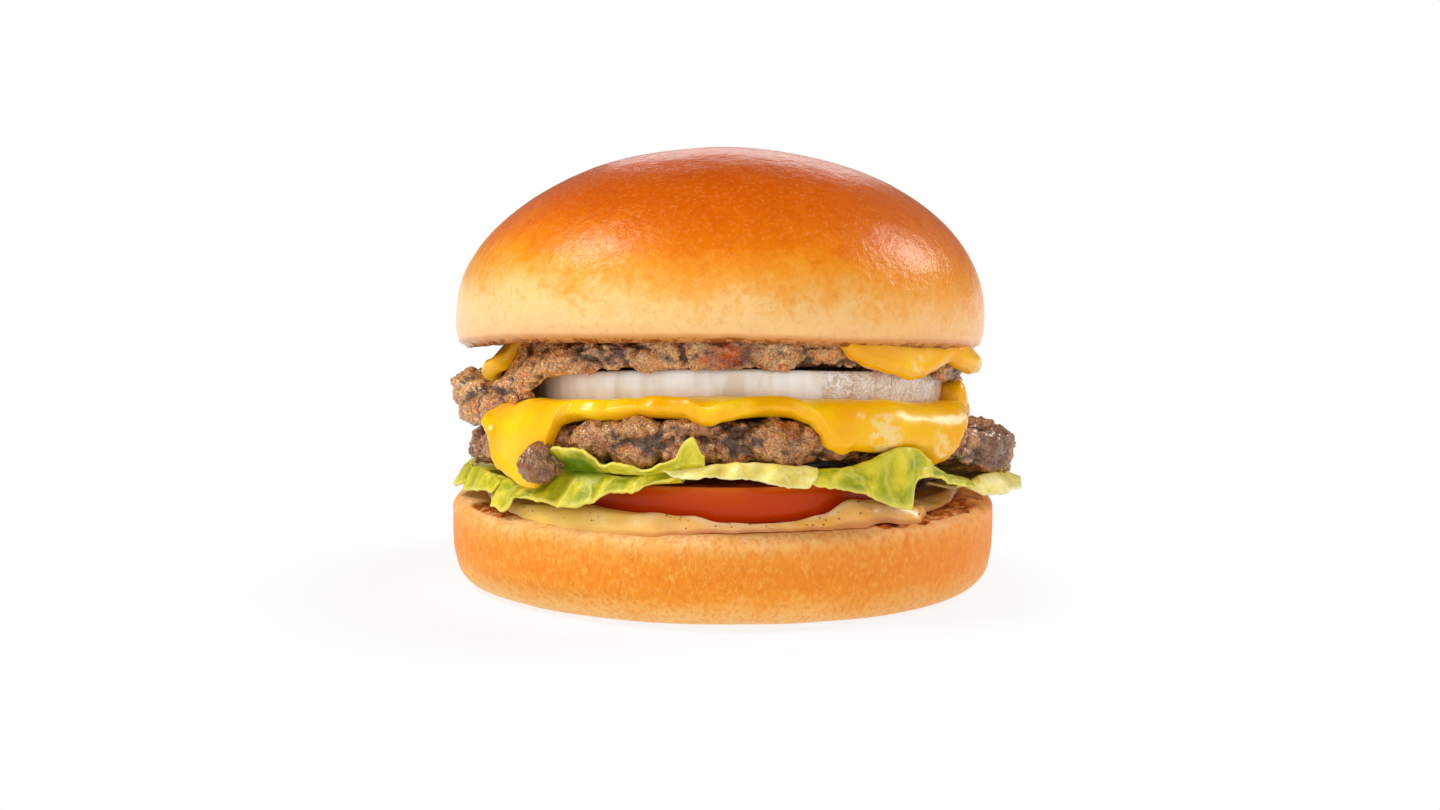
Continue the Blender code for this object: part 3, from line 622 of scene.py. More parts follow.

# %% [markdown]
# ## Finish of the tomato
#
# The skin is orange-red and nearly clear, with thousands of pale pin-prick dots just under it.
# Painted shade deepens the colour towards the underside, and a painted highlight lightens a band
# at the top cut edge. A thin coat gives the wet shine.

# %% Tomato
tomato_look = Finish("tomato", Roughness=0.24, Subsurface_Weight=0.15, Subsurface_Scale=0.002,
                     Specular_IOR_Level=0.12, Coat_Weight=0.06, Coat_Roughness=0.1,
                     Subsurface_Radius=(1.0, 0.35, 0.05))
# painted shade darkens the skin towards its underside; a painted highlight lightens the top cut edge
skin = tomato_look.ramp(tomato_look.mark("up"),
                        (0.0, srgb(180, 50, 0)), (0.4, srgb(198, 62, 0)), (0.85, srgb(208, 76, 0)),
                        (0.97, srgb(232, 120, 40)), (1.0, srgb(240, 140, 64)))
skin = tomato_look.blend(tomato_look.range(tomato_look.blotches(6.0, 2.0), 0.4, 0.7, 0.0, 0.5), skin,
                         srgb(198, 60, 0))
dots = tomato_look.range(tomato_look.cells(0.55), 0.05, 0.2, 0.22, 0.0)
skin = tomato_look.blend(dots, skin, srgb(236, 130, 50))
flesh = tomato_look.ramp(tomato_look.blotches(4.0, 4.0, 0.6, warp=0.6),
                         (0.3, srgb(150, 62, 8)), (0.5, srgb(190, 84, 14)), (0.7, srgb(216, 116, 44)))
tomato_look.colour(tomato_look.blend(tomato_look.mark("skin"), flesh, skin))
tomato_look.bump((tomato_look.blotches(1.5, 3.0, 0.5), 0.04), (tomato_look.cells(0.5), 0.01))
show("tomato_slice_skin", tomato_mesh, "tomato_slice", tomato_look.material)

# %% [markdown]
# ## Lettuce leaves
#
# A leaf is a thin sheet that comes out between tomato and patty, rolls over a crest and ends in a
# ruffled edge. The crest and the edge of each leaf are told by a few stations (azimuth, distance,
# height); a rounded curve runs through them, so that the sheet bends like a leaf and not like card.
# Small blisters between the veins and quick ruffles at the edge come from noise. Solidify then gives
# the sheet its thickness.

# %% A helper that lays a leaf
LEAF_THICKNESS = 0.5
TUCKED_RADIUS = 47.0
TUCKED_SHARE = 0.3
VEIN_LENGTH = 16.0


def sauce_top(x, y):
    radius, azimuth = polar(x, y)
    off_tomato = ease((beyond(x, y, TOMATO_CENTRE, TOMATO_RADIUS) - 0.8) / 1.6)
    return heel_top(radius) + SAUCE_FILM + (sauce_heap(azimuth) - SAUCE_FILM) * off_tomato


def tucked(radius, azimuth, level):
    """A height between the tomato and its sauce, at level 0, and the patty above, at level 1."""
    x, y = from_polar(radius, azimuth)
    off_tomato = ease((beyond(x, y, TOMATO_CENTRE, TOMATO_RADIUS) - 0.8) / 3.5)
    bed = max(mix(tomato_top(y), sauce_top(x, y), off_tomato), sauce_top(x, y)) + GAP
    return mix(bed + 0.35, lower_patty_underside(x, y) - 0.77, level)


def in_pocket_shade(azimuth, height):
    """1 in the pocket of the front leaf, which is painted deep green as shade, and 0 away from it."""
    return math.exp(-((azimuth + 32.0) / 6.0) ** 2 - ((height - 28.1) / 2.2) ** 2)


def lay_leaf(name, node, finish, inner, level, lines, columns, rows, frill, wave, seed, pleat=0.3):
    """lines are [(share of the way out, [(azimuth, radius, height) stations])], the last the free edge."""
    start, end = lines[-1][1][0][0], lines[-1][1][-1][0]
    radii = [(share, [(a, r) for a, r, z in stations]) for share, stations in lines]
    heights = [(share, [(a, z) for a, r, z in stations]) for share, stations in lines]
    points, faces = [], []
    marks = {"along": [], "out": [], "leaf_fold_shade": [], "pocket": [], "rim": []}
    for column in range(columns + 1):
        azimuth = mix(start, end, column / columns)
        span_r = [(0.0, inner), (TUCKED_SHARE, TUCKED_RADIUS)]
        span_r += [(s, smooth_run(line, azimuth)) for s, line in radii]
        span_z = [(0.0, tucked(inner, azimuth, level)),
                  (TUCKED_SHARE, tucked(TUCKED_RADIUS, azimuth, level))]
        span_z += [(s, smooth_run(line, azimuth)) for s, line in heights]
        ends = ease((azimuth - start) / 2.4) * ease((end - azimuth) / 2.4)
        for row in range(rows + 1):
            share = row / rows * mix(0.82, 1.0, ends)
            free = ease((share - 0.35) / 0.5)
            radius = smooth_run(span_r, share)
            height = smooth_run(span_z, share)
            angle = azimuth / wave + seed + 1.4 * share
            ruffle = frill * free * (math.sin(angle) + 0.6 * math.sin(2.3 * angle + 1.0))
            bent = 0.42 * azimuth + 2.6 * share + seed + 0.8 * grain((azimuth / 6.0, share, seed), 1.0)
            crease = pleat * free * (1.0 - 2.2 * abs(math.sin(bent)))
            blister = 0.24 * grain((azimuth * 0.9, radius + height, seed), 2.2) * ease((share - 0.25) / 0.3)
            ragged = 0.25 * grain((azimuth, seed, 0.0), 1.1) * ease((share - 0.85) / 0.15) * ends
            radius += ruffle + crease + 0.6 * blister
            height += 0.4 * ruffle * math.cos(1.7 * angle) + blister + ragged
            x, y = from_polar(radius, azimuth)
            points.append((x * MM, y * MM, height * MM))
            marks["along"].append(math.radians(azimuth) * 50.0)
            marks["out"].append(share * VEIN_LENGTH)
            marks["leaf_fold_shade"].append(-ruffle - crease)
            marks["pocket"].append(in_pocket_shade(azimuth, height) * ease((azimuth + 60.0) / 10.0))
            marks["rim"].append(ease((row / rows - 0.93) / 0.07))
    for column in range(columns):
        for row in range(rows):
            corner = column * (rows + 1) + row
            faces.append((corner, corner + rows + 1, corner + rows + 2, corner + 1))
    mesh = bpy.data.meshes.new(name)
    mesh.from_pydata(points, [], faces)
    write_marks(mesh, marks)
    leaf = show(name, mesh, node, finish)
    thick = leaf.modifiers.new("leaf_thickness", "SOLIDIFY")
    thick.thickness = LEAF_THICKNESS * MM
    thick.offset = 0.0
    print(f"{name}: {len(points)} points")


# %% [markdown]
# ## Finish of the lettuce
#
# Iceberg lettuce is yellow-green and paler towards the ribs, with a net of fine veins that stands
# out a little and is lighter than the leaf between. Light shines through it, so it keeps its colour
# in the shade. Painted shade darkens the inner side of each fold and the pocket of the front leaf.
# Two finishes share one recipe: a greener one for the outer leaves and a creamy one.

# %% Lettuce finishes
def lettuce_finish(name, deep, leaf, light, rib):
    made = Finish(name, Roughness=0.36, Subsurface_Weight=0.15, Subsurface_Scale=0.001,
                  Specular_IOR_Level=0.25, Subsurface_Radius=(1.0, 0.9, 0.2))
    sheet = made.add("ShaderNodeCombineXYZ", {"X": made.mark("along"), "Y": made.mark("out")}).outputs[0]
    bend = made.bend(0.22, sheet)
    shifted = made.vector("MULTIPLY_ADD", {0: bend, 1: (7.0, 7.0, 0.0), 2: sheet})
    fan = made.vector("MULTIPLY", {0: shifted, 1: (1.0, 0.4, 1.0)})
    ribs = made.range(made.cells(5.5, "DISTANCE_TO_EDGE", fan), 0.0, 0.13, 1.0, 0.0)
    net = made.range(made.cells(2.0, "DISTANCE_TO_EDGE", shifted), 0.0, 0.16, 0.35, 0.0)
    veins = made.math("MAXIMUM", ribs, net)
    body = made.ramp(made.blotches(4.5, 4.0, 0.6, sheet), (0.32, deep), (0.46, leaf), (0.62, light))
    # painted shade: the inner side of each fold and ruffle is darkened towards deep green
    body = made.blend(made.range(made.mark("leaf_fold_shade"), -0.1, 0.6, 0.0, 0.7), body, deep)
    body = made.blend(made.scaled(veins, 0.4), body, rib)
    # painted shade: the pocket of the front leaf is painted deep green
    body = made.blend(made.range(made.mark("pocket"), 0.1, 0.7, 0.0, 0.95), body, srgb(84, 118, 0))
    made.colour(made.blend(made.scaled(made.mark("rim"), 0.7), body, rib))
    made.bump((veins, 0.1), (made.blotches(1.0, 3.0, 0.6), 0.12))
    return made.material


green_leaf = lettuce_finish("lettuce", srgb(124, 138, 0), srgb(190, 180, 8), srgb(222, 204, 40),
                            srgb(244, 228, 104))
pale_leaf = lettuce_finish("pale_lettuce", srgb(208, 184, 60), srgb(250, 225, 108), srgb(255, 238, 156),
                           srgb(244, 232, 170))

# %% [markdown]
# ## The leaves at the front
#
# From the left: a tip that peeps out, a broad ruffle whose pocket above the sauce is painted dark
# green as shade, a sliver that curls up over the patty, a pale leaf behind the tomato's rim, a folded
# leaf that stands up and points down, and a thin tip that sticks out furthest to the right.

# %% Lay the front leaves
lay_leaf("lettuce_leaf_left_tip", "lettuce_left_tip", green_leaf, 42.0, 0.5, [
    (0.7, [(-91, 48.6, 21.4), (-82, 49.2, 22.8), (-74, 49.4, 23.6), (-66, 49.4, 24.2), (-55, 49.0, 23.6)]),
    (1.0, [(-91, 49.9, 19.8), (-86, 51.3, 18.9), (-80, 51.4, 19.4), (-75, 50.6, 20.8), (-70, 51.4, 19.8),
           (-64, 50.9, 20.6), (-55, 50.5, 21.2)])],
    90, 34, 0.3, 4.2, 2.0)
lay_leaf("lettuce_leaf_front_ruffle", "lettuce_front_ruffle", green_leaf, 38.0, 0.5, [
    (0.55, [(-60, 49.0, 23.6), (-52, 49.2, 24.0), (-46, 49.0, 23.4), (-40, 48.0, 25.4), (-36, 47.0, 26.8),
            (-28, 47.2, 27.2), (-23, 48.6, 26.6), (-16, 48.6, 27.4), (-9, 48.4, 28.0)]),
    (0.78, [(-60, 49.9, 22.0), (-50, 50.4, 21.8), (-44, 50.2, 22.6), (-38, 49.6, 23.6), (-33, 49.2, 24.6),
            (-27, 49.8, 25.4), (-22, 50.0, 26.2), (-16, 49.8, 26.6), (-9, 49.0, 27.6)]),
    (1.0, [(-60, 50.4, 20.6), (-54, 51.3, 18.6), (-51.5, 51.4, 18.0), (-48.5, 51.1, 20.6),
           (-44, 51.5, 21.6), (-38, 51.9, 21.4), (-32, 52.1, 21.2), (-28, 51.9, 22.0), (-23.5, 51.6, 24.0),
           (-20, 51.4, 24.6), (-17, 51.2, 24.8), (-15.5, 50.6, 26.0), (-9, 49.6, 27.0)])],
    170, 44, 0.24, 3.1, 5.0, 0.5)
lay_leaf("lettuce_leaf_front_curl", "lettuce_front_curl", green_leaf, 40.0, 0.95, [
    (0.6, [(-39, 48.4, 27.6), (-32, 48.4, 27.8), (-26, 49.0, 27.8), (-16, 49.8, 27.7), (-9, 50.3, 29.2),
           (-3.8, 50.3, 30.0)]),
    (0.8, [(-39, 49.6, 28.4), (-32, 50.1, 29.6), (-25, 50.4, 28.9), (-16, 50.4, 28.2), (-9, 50.8, 30.2),
           (-3.8, 50.8, 31.4)]),
    (1.0, [(-39, 50.7, 29.6), (-37, 51.2, 31.2), (-33, 51.4, 31.7), (-29, 51.4, 31.5), (-26.5, 51.2, 30.2),
           (-25, 51.0, 28.6), (-22.5, 51.1, 29.6), (-19, 51.0, 29.4), (-16, 50.9, 28.4), (-12, 51.1, 29.9),
           (-9.4, 51.3, 31.2), (-8.2, 51.5, 33.4), (-5.2, 51.5, 34.9), (-3.8, 51.2, 33.6)])],
    140, 38, 0.1, 2.6, 9.0, 0.15)
lay_leaf("lettuce_leaf_front_pale", "lettuce_front_pale", pale_leaf, 38.0, 0.9, [
    (0.6, [(-12.5, 48.9, 28.2), (-4, 49.4, 29.2), (4, 49.6, 29.8), (12, 49.4, 29.2), (19.5, 49.0, 28.4)]),
    (0.8, [(-12.5, 50.0, 28.6), (-4, 50.2, 28.6), (4, 50.4, 28.5), (12, 50.1, 27.6), (19.5, 49.8, 27.2)]),
    (1.0, [(-12.5, 50.8, 27.6), (-9, 51.1, 27.4), (-3, 51.1, 27.6), (2, 50.9, 27.2), (4, 50.9, 27.3),
           (9, 50.7, 26.4), (13, 50.6, 25.4), (15.5, 50.4, 25.2), (19.5, 50.1, 25.8)])],
    120, 34, 0.16, 2.9, 3.0, 0.4)
lay_leaf("lettuce_leaf_right_fold", "lettuce_right_fold", green_leaf, 41.0, 0.75, [
    (0.55, [(16.5, 49.0, 27.9), (25, 49.6, 28.2), (30, 50.2, 29.0), (34, 50.8, 30.4), (38, 51.2, 31.2),
            (41, 51.2, 30.9), (44, 51.0, 29.6), (48, 50.6, 27.0), (54, 50.2, 24.6), (60, 50.0, 23.1),
            (68, 49.9, 21.4)]),
    (0.8, [(16.5, 49.8, 26.8), (25, 50.5, 26.8), (31, 51.3, 26.2), (35, 51.8, 25.8), (38, 52.1, 25.6),
           (41, 52.0, 27.4), (44, 51.6, 27.3), (48, 51.2, 25.8), (54, 50.8, 23.8), (60, 50.6, 22.6),
           (68, 50.4, 21.0)]),
    (1.0, [(16.5, 50.2, 25.8), (22, 50.8, 24.9), (27, 51.4, 24.2), (31, 51.9, 22.8), (34.5, 52.4, 21.2),
           (38, 52.7, 20.3), (39.8, 52.7, 20.6), (40.8, 52.5, 24.6), (44, 52.1, 25.4), (49, 51.6, 24.8),
           (55, 51.2, 22.8), (61, 51.0, 21.7), (68, 50.8, 20.5)])],
    180, 40, 0.12, 3.3, 1.0, 0.3)
lay_leaf("lettuce_leaf_right_tip", "lettuce_right_tip", pale_leaf, 42.0, 0.35, [
    (0.6, [(64, 49.8, 21.4), (74, 51.0, 22.0), (82, 52.2, 22.0), (90, 51.6, 21.4), (99, 49.8, 20.6)]),
    (1.0, [(64, 51.4, 20.3), (71, 53.4, 18.9), (77, 55.8, 19.2), (83, 57.4, 18.8), (87, 57.2, 19.6),
           (93, 55.0, 18.8), (99, 52.2, 18.8)])],
    100, 38, 0.3, 3.4, 4.0)

# %% [markdown]
# ## The leaves at the back
#
# The lettuce goes on round the back in three more leaves. Nothing in the stack asks for a new idea
# there, so they are laid in the same way, with ruffles of the same size as in front.

# %% Lay the back leaves
lay_leaf("lettuce_leaf_back_right", "lettuce_back_right", green_leaf, 40.0, 0.5, [
    (0.6, [(101, 49.8, 20.6), (113, 50.2, 21.2), (126, 50.4, 21.4), (140, 50.2, 21.3), (152, 49.8, 20.8)]),
    (1.0, [(101, 51.2, 19.4), (107, 52.2, 18.6), (113, 52.6, 18.0), (120, 51.8, 19.6), (126, 51.4, 20.6),
           (133, 51.8, 19.8), (140, 52.0, 18.4), (147, 51.6, 19.2), (152, 51.2, 20.0)])],
    110, 30, 0.3, 3.6, 6.0)
lay_leaf("lettuce_leaf_back", "lettuce_back", pale_leaf, 38.0, 0.5, [
    (0.6, [(156, 49.6, 20.4), (170, 50.0, 21.0), (182, 50.2, 21.2), (196, 50.0, 21.0), (208, 49.6, 20.6)]),
    (1.0, [(156, 50.8, 18.8), (163, 51.6, 19.8), (170, 52.0, 20.6), (177, 51.6, 19.4), (184, 51.4, 18.4),
           (192, 51.8, 19.4), (200, 52.0, 20.2), (208, 51.0, 19.2)])],
    110, 30, 0.3, 3.2, 8.0)
lay_leaf("lettuce_leaf_back_left", "lettuce_back_left", green_leaf, 40.0, 0.5, [
    (0.6, [(212, 49.6, 20.8), (226, 50.2, 21.4), (240, 50.4, 21.8), (254, 50.2, 21.6), (264, 49.8, 21.2)]),
    (1.0, [(212, 51.2, 19.8), (219, 51.9, 18.8), (226, 52.4, 18.2), (233, 51.8, 19.6), (240, 51.4, 20.8),
           (247, 51.8, 19.8), (254, 52.0, 18.6), (264, 51.0, 19.8)])],
    110, 30, 0.3, 3.5, 7.0)

# %% [markdown]
# ## The beef patties
#
# A smashed patty is a disc of minced beef: lumps a few millimetres wide with deep creases between
# them, and on each lump smaller beads. Two sizes of cells carve the turned disc inwards, warped by
# noise so that no lump looks like a ball. How deep in a crease each point lies is kept as a mark,
# because the finish paints shade into the creases with it, so that they look darker and duller
# than the fat-glazed tops.

# %% Shape of the patties
PATTY_EDGE = 0.09
PATTY_FULLNESS = 0.75
CRAG_SIZE = 8.0
CRAG_DEPTH = 2.5
WARP_SIZE = 4.2
CLUMP_SIZE = 3.7
STRAND_SIZE = 2.0
BEAD_SIZE = 1.45

lower_reach = round_trip((-180, 48.0), (-120, 47.5), (-88, 49.3), (-60, 48.2), (-20, 47.6), (20, 47.4),
                         (50, 47.0), (68, 50.3), (84, 55.4), (100, 51.6), (130, 48.0))
upper_reach = round_trip((-180, 45.8), (-125, 46.6), (-86, 52.0), (-62, 46.6), (-40, 45.6), (0, 45.8),
                         (28, 45.0), (60, 44.6), (85, 46.7), (130, 45.4))
lower_bulge = round_trip((-180, 0.2), (-120, 0.5), (-84, 0.0), (-64, 1.0), (-56, 0.3), (-44, 0.6),
                         (-38, 0.8), (-32, 1.7), (-26, 0.6), (-16, 2.1), (-9, 1.0), (-5, -0.8), (0, 1.0),
                         (9, 2.3), (20, 0.2), (60, 0.0), (130, 0.5))
upper_bulge = round_trip((-180, 0.3), (-86, -0.3), (-60, 0.4), (-48, 0.3), (-30, 0.8), (-14, 0.0),
                         (0, 0.5), (14, 0.9), (24, 0.2), (58, 0.1), (68, 1.2), (76, 0.8), (86, 0.0),
                         (130, 0.5))


def carved(spot, seed):
    """How deep a point of the beef lies, in millimetres, and how much painted shade its crease gets, 0 to
    1.
    """
    place = Vector(spot)
    large = noise.voronoi(place / CRAG_SIZE + Vector((seed, 0.0, 0.0)))[0]
    lump = min(1.6 * large[0] ** 2, 1.0)
    gorge = 1.0 - ease((large[1] - large[0]) / 0.22)
    warp = Vector([grain(spot, WARP_SIZE, shift) for shift in (1.0, 5.0, 9.0)])
    near = noise.voronoi((place + 2.2 * warp) / CLUMP_SIZE + Vector((0.0, seed, 0.0)))[0]
    uneven = 0.5 + 0.5 * grain(spot, 5.0, seed)
    crease = (1.0 - ease((near[1] - near[0]) / 0.3)) * uneven
    strands = noise.fractal(place / STRAND_SIZE + 0.6 * warp, 0.6, 2.2, 3)
    small = noise.voronoi((place + 0.9 * warp) / BEAD_SIZE)[0][0]
    depth = CRAG_DEPTH * lump + 0.4 * near[0] + 0.9 * crease - 0.7 * strands + 0.45 * small - 0.95
    shade = 0.35 * gorge + 0.5 * crease + 0.35 * lump - 0.4 * strands + 0.25 * (small - 0.4)
    return depth, min(max(shade, 0.0), 1.0)


def patty_mesh(name, underside, top, reach, bulge, hang, seed):
    def place(share, level, azimuth):
        limit = reach(azimuth)
        x, y = from_polar(share * limit, azimuth)
        height = mix(underside(x, y), top(x, y), 0.5 * (level + 1.0))
        outward = max(share - 1.0 + PATTY_EDGE, 0.0) / PATTY_EDGE
        length = max(math.hypot(outward, level), 1.0)
        shown = ease((share - 0.82) / 0.08)
        depth, crease = carved((x, y, height), seed) if shown > 0.0 else (0.0, 0.0)
        depth = (depth - bulge(azimuth) * outward) * shown / length
        x, y = from_polar(share * limit - depth * outward, azimuth)
        lower = hang(azimuth) * max(-level, 0.0) * ease((share * limit - limit + 3.0) / 2.0)
        return (x, y, height - depth * level * 0.8 - lower), {"crease": crease}

    rings = slab_rings([0.0, 0.5, 0.7, 0.77, 0.8, 0.82, 0.835, 0.85, 0.865, 0.88, 0.895], PATTY_EDGE, 42,
                       PATTY_FULLNESS)
    return turn(name, rings, 600, place)


upper_hem = round_trip((-180, 1.1), (-75, 0.5), (-60, -0.3), (-40, -0.1), (-18, 0.8), (52, 1.0),
                       (60, 1.7), (68, 2.7), (76, 2.1), (86, 1.2), (120, 1.1))
lower_patty_mesh = patty_mesh("lower_beef_patty", lower_patty_underside, lower_patty_top, lower_reach,
                              lower_bulge, lambda azimuth: 0.4, 3.7)
upper_patty_mesh = patty_mesh("upper_beef_patty", upper_patty_underside, upper_patty_top, upper_reach,
                              upper_bulge, upper_hem, 11.2)

# %% [markdown]
# ## Finish of the beef
#
# Cooked mince is a mix of grey-brown, pinkish and orange-brown grains about a millimetre wide, each
# glazed with fat. Cells give each grain its own colour, the crease mark paints shade into the depths,
# and the roughness jumps from grain to grain so that some of them glint. The upper patty is lighter
# and warmer than the lower one, so the recipe takes its colours as values.

# %% Beef finishes
def beef_finish(name, dark, brown, tan, warm, spots):
    made = Finish(name, Roughness=0.4, Subsurface_Weight=0.1, Subsurface_Scale=0.001,
                  Specular_IOR_Level=0.5, Coat_Weight=0.6, Coat_Roughness=0.12,
                  Subsurface_Radius=(1.0, 0.45, 0.3))
    bend = made.bend(0.55, made.place)
    where = made.vector("MULTIPLY_ADD", {0: bend, 1: (4.0, 4.0, 4.0), 2: made.place})
    each = made.cells(1.2, output="Color", where=where)
    each = made.add("ShaderNodeSeparateColor", {0: each}).outputs[0]
    grains = made.ramp(each, (0.0, dark), (0.22, brown), (0.5, tan), (0.7, brown), (0.86, warm), (1.0, tan))
    patches = made.ramp(made.blotches(5.0, 4.0, 0.65), (0.36, brown), (0.5, tan), (0.62, warm))
    body = made.blend(0.6, grains, patches)
    fibres = made.blotches(0.55, 4.0, 0.7, where)
    body = made.blend(made.range(fibres, 0.38, 0.54, 0.7, 0.0), body, dark)
    body = made.blend(made.range(fibres, 0.56, 0.72, 0.0, 0.55), body, tan)
    # painted shade: the creases are darkened towards a deep brown
    deep = made.range(made.mark("crease"), 0.3, 0.85, 0.0, 0.9)
    body = made.blend(deep, body, srgb(62, 30, 14))
    for spot, size, tint in spots:
        near = made.near(spot, 0.3 * size, size, 0.9, 0.0)
        body = made.blend(made.scaled(near, made.range(fibres, 0.4, 0.6, 0.3, 1.0)), body, tint)
    made.colour(body)
    made.roughness(made.math("ADD", made.scaled(each, 0.3), 0.18))
    made.bump((made.scaled(made.cells(1.2, where=where), -1.0), 0.7),
              (made.blotches(0.7, 2.0, 0.5, where), 0.35))
    return made.material


SEARED = srgb(226, 92, 8)
CHARRED = srgb(84, 46, 30)
BROWNED = srgb(140, 70, 34)
lower_beef = beef_finish("lower_beef", srgb(86, 43, 20), srgb(186, 108, 50), srgb(239, 181, 116),
                         srgb(206, 110, 34),
                         [((-24.0, -42.0, 29.5), 1.6, SEARED), ((-8.0, -47.5, 32.0), 1.4, SEARED),
                          ((53.0, -12.0, 27.0), 9.0, CHARRED), ((-32.4, -39.5, 28.0), 7.0, CHARRED)])
upper_beef = beef_finish("upper_beef", srgb(122, 60, 24), srgb(238, 146, 68), srgb(254, 206, 138),
                         srgb(242, 134, 36),
                         [((1.0, -45.5, 49.0), 8.0, BROWNED), ((0.5, -45.5, 48.6), 3.6, SEARED),
                          ((-24.0, -40.0, 45.5), 1.6, SEARED), ((-3.5, -45.5, 47.6), 1.4, SEARED),
                          ((44.5, -15.0, 40.5), 6.0, CHARRED)])
show("lower_beef_patty", lower_patty_mesh, "lower_patty", lower_beef)
show("upper_beef_patty", upper_patty_mesh, "upper_patty", upper_beef)

# %% [markdown]
# ## Loose beef
#
# Beside the drip of the cheese a lump of beef has broken off, and another sits at the onion's end.
# They are small balls carved by the same function as the patties, so they match them. The helper
# takes the carving as a function, because a blob of cheese is made with it further on.

# %% Make the beef lumps
def lump(name, slot, centre, radii, finish, surface):
    """A small loose piece. surface(spot) gives how deep a point lies and its marks."""
    def place(tilt, _, azimuth):
        x = centre[0] + radii[0] * math.sin(tilt) * math.sin(math.radians(azimuth))
        y = centre[1] - radii[1] * math.sin(tilt) * math.cos(math.radians(azimuth))
        z = centre[2] + radii[2] * math.cos(tilt)
        depth, found = surface((x, y, z))
        keep = 1.0 - depth / max(radii) * 0.8
        return [mix(middle, value, keep) for middle, value in zip(centre, (x, y, z))], found

    rings = [(math.pi * step / 40.0, 0.0) for step in range(41)]
    return show(name, turn(name, rings, 80, place), None, finish)


def beef_lump(name, centre, radii, finish, seed):
    def surface(spot):
        depth, crease = carved(spot, seed)
        return depth, {"crease": 0.85 * crease}

    return lump(name, "beef", centre, radii, finish, surface)


beef_lump("beef_lump_by_drip", (-32.4, -39.5, 28.0), (4.5, 3.4, 3.8), lower_beef, 5.1)
beef_lump("beef_lump_on_onion", (-36.8, -26.0, 38.0), (2.9, 2.6, 2.6), upper_beef, 8.3)

# %% [markdown]
# ## The melted cheese
#
# A slice of cheese lies on the patty, bends round its rim and runs down in tongues. A cloth
# simulation could drape it, but melted cheese also thins, thickens into a bead at its edge and
# clings to the lumps. So each point walks a measured way out over the patty: flat along the top,
# round the shoulder, then straight down to an edge whose height is known all the way round.

# %% Shape of the cheese slices
def over_the_patty(along, azimuth, underside, top, reach):
    """A point on the middle of the slice, as (radius, height, outward, upward)."""
    limit = reach(azimuth)
    edge = PATTY_EDGE * limit
    shoulder = limit - edge
    clear = DRAPE_GAP + 0.5 * CHEESE_THICKNESS
    if along < shoulder:
        return along, top(*from_polar(along, azimuth)) + clear, 0.0, 1.0
    rim = from_polar(limit, azimuth)
    half = 0.5 * (top(*rim) - underside(*rim))
    bend = 0.5 * (edge + half) + clear
    angle = (along - shoulder) / bend
    over = min(angle, 0.5 * math.pi)
    radius = shoulder + (edge + clear) * math.sin(over) ** PATTY_FULLNESS
    near = from_polar(min(radius, limit), azimuth)
    middle = 0.5 * (underside(*near) + top(*near))
    height = middle + (half + clear) * abs(math.cos(over)) ** PATTY_FULLNESS - (angle - over) * bend
    return radius, height, math.sin(over), math.cos(over)


def way_to_edge(hang, azimuth, underside, top, reach):
    """How far the slice runs before it hangs this far below the patty's top."""
    limit = reach(azimuth)
    edge = PATTY_EDGE * limit
    shoulder = limit - edge
    if hang <= 0.0:
        return shoulder + hang
    rim = from_polar(limit, azimuth)
    clear = DRAPE_GAP + 0.5 * CHEESE_THICKNESS
    drop = 0.5 * (top(*rim) - underside(*rim)) + clear
    bend = 0.5 * (edge + drop + clear)
    if hang < drop:
        return shoulder + bend * math.acos(1.0 - hang / drop)
    return shoulder + bend * 0.5 * math.pi + hang - drop


def cheese_mesh(name, underside, top, reach, bulge, hang, plump, seed):
    def place(share, level, azimuth):
        limit = reach(azimuth)
        reached = way_to_edge(hang(azimuth), azimuth, underside, top, reach)
        reached += 0.3 * grain((azimuth / 4.0, seed, 0.0), 1.2)
        shoulder = min((1.0 - PATTY_EDGE) * limit, reached - 1.5)
        if share < 0.5:
            along = shoulder * share / 0.5
        else:
            along = mix(shoulder, reached, (share - 0.5) / 0.5)
        radius, height, outward, upward = over_the_patty(along, azimuth, underside, top, reach)
        to_edge = reached - along
        shown = ease((share - 0.42) / 0.08)
        x, y = from_polar(radius, azimuth)
        cling = 0.42 * grain((x, y, height), 8.0, seed) + 0.16 * grain((x, y, height), 3.6, seed)
        cling += bulge(azimuth) * outward
        bead = 0.5 * ease((3.0 - to_edge) / 1.6)
        half = 0.5 * CHEESE_THICKNESS + (bead + 0.12 * grain((x, y, height), 5.0, seed + 3.0)) * shown
        if level > 0.0:
            past_onion = beyond(x, y, ONION_CENTRE, ONION_RADIUS)
            swell = ease((past_onion + 0.1) / 1.1) * (1.0 - ease((past_onion - 5.0) / 4.0))
            half += plump * swell * ease((to_edge - 0.4) / 2.2)
        else:
            half += 0.5 * shown
        round_off = min(to_edge / half, 1.0)
        half *= math.sqrt(max(1.0 - (1.0 - round_off) ** 2, 0.0))
        offset = half * level + cling * shown
        x, y = from_polar(radius + offset * outward, azimuth)
        return (x, y, height + offset * upward), {"edge": ease(1.0 - to_edge / 4.0)}

    flat = [0.0, 0.25, 0.4, 0.46]
    run = [0.5 + 0.5 * ((step / 34.0) ** 0.85) for step in range(31)]
    run += [1.0 - 0.5 * 0.09 * (1.0 - step / 8.0) ** 2 for step in range(1, 8)]
    outside = [(share, 1.0) for share in flat + run]
    inside = [(share, -1.0) for share in reversed(flat + run)]
    return turn(name, outside + [(1.0, 0.0)] + inside, 480, place)


def hang_from_heights(tips, rest, top, reach):
    """Heights of the edge, as (azimuth, height) tips, turned into how far it hangs below the patty."""
    stations = list(rest)
    for azimuth, height in tips:
        middle = top(*from_polar(reach(azimuth), azimuth)) + DRAPE_GAP + 0.5 * CHEESE_THICKNESS
        stations.append((azimuth, middle - height))
    return round_trip(*stations)


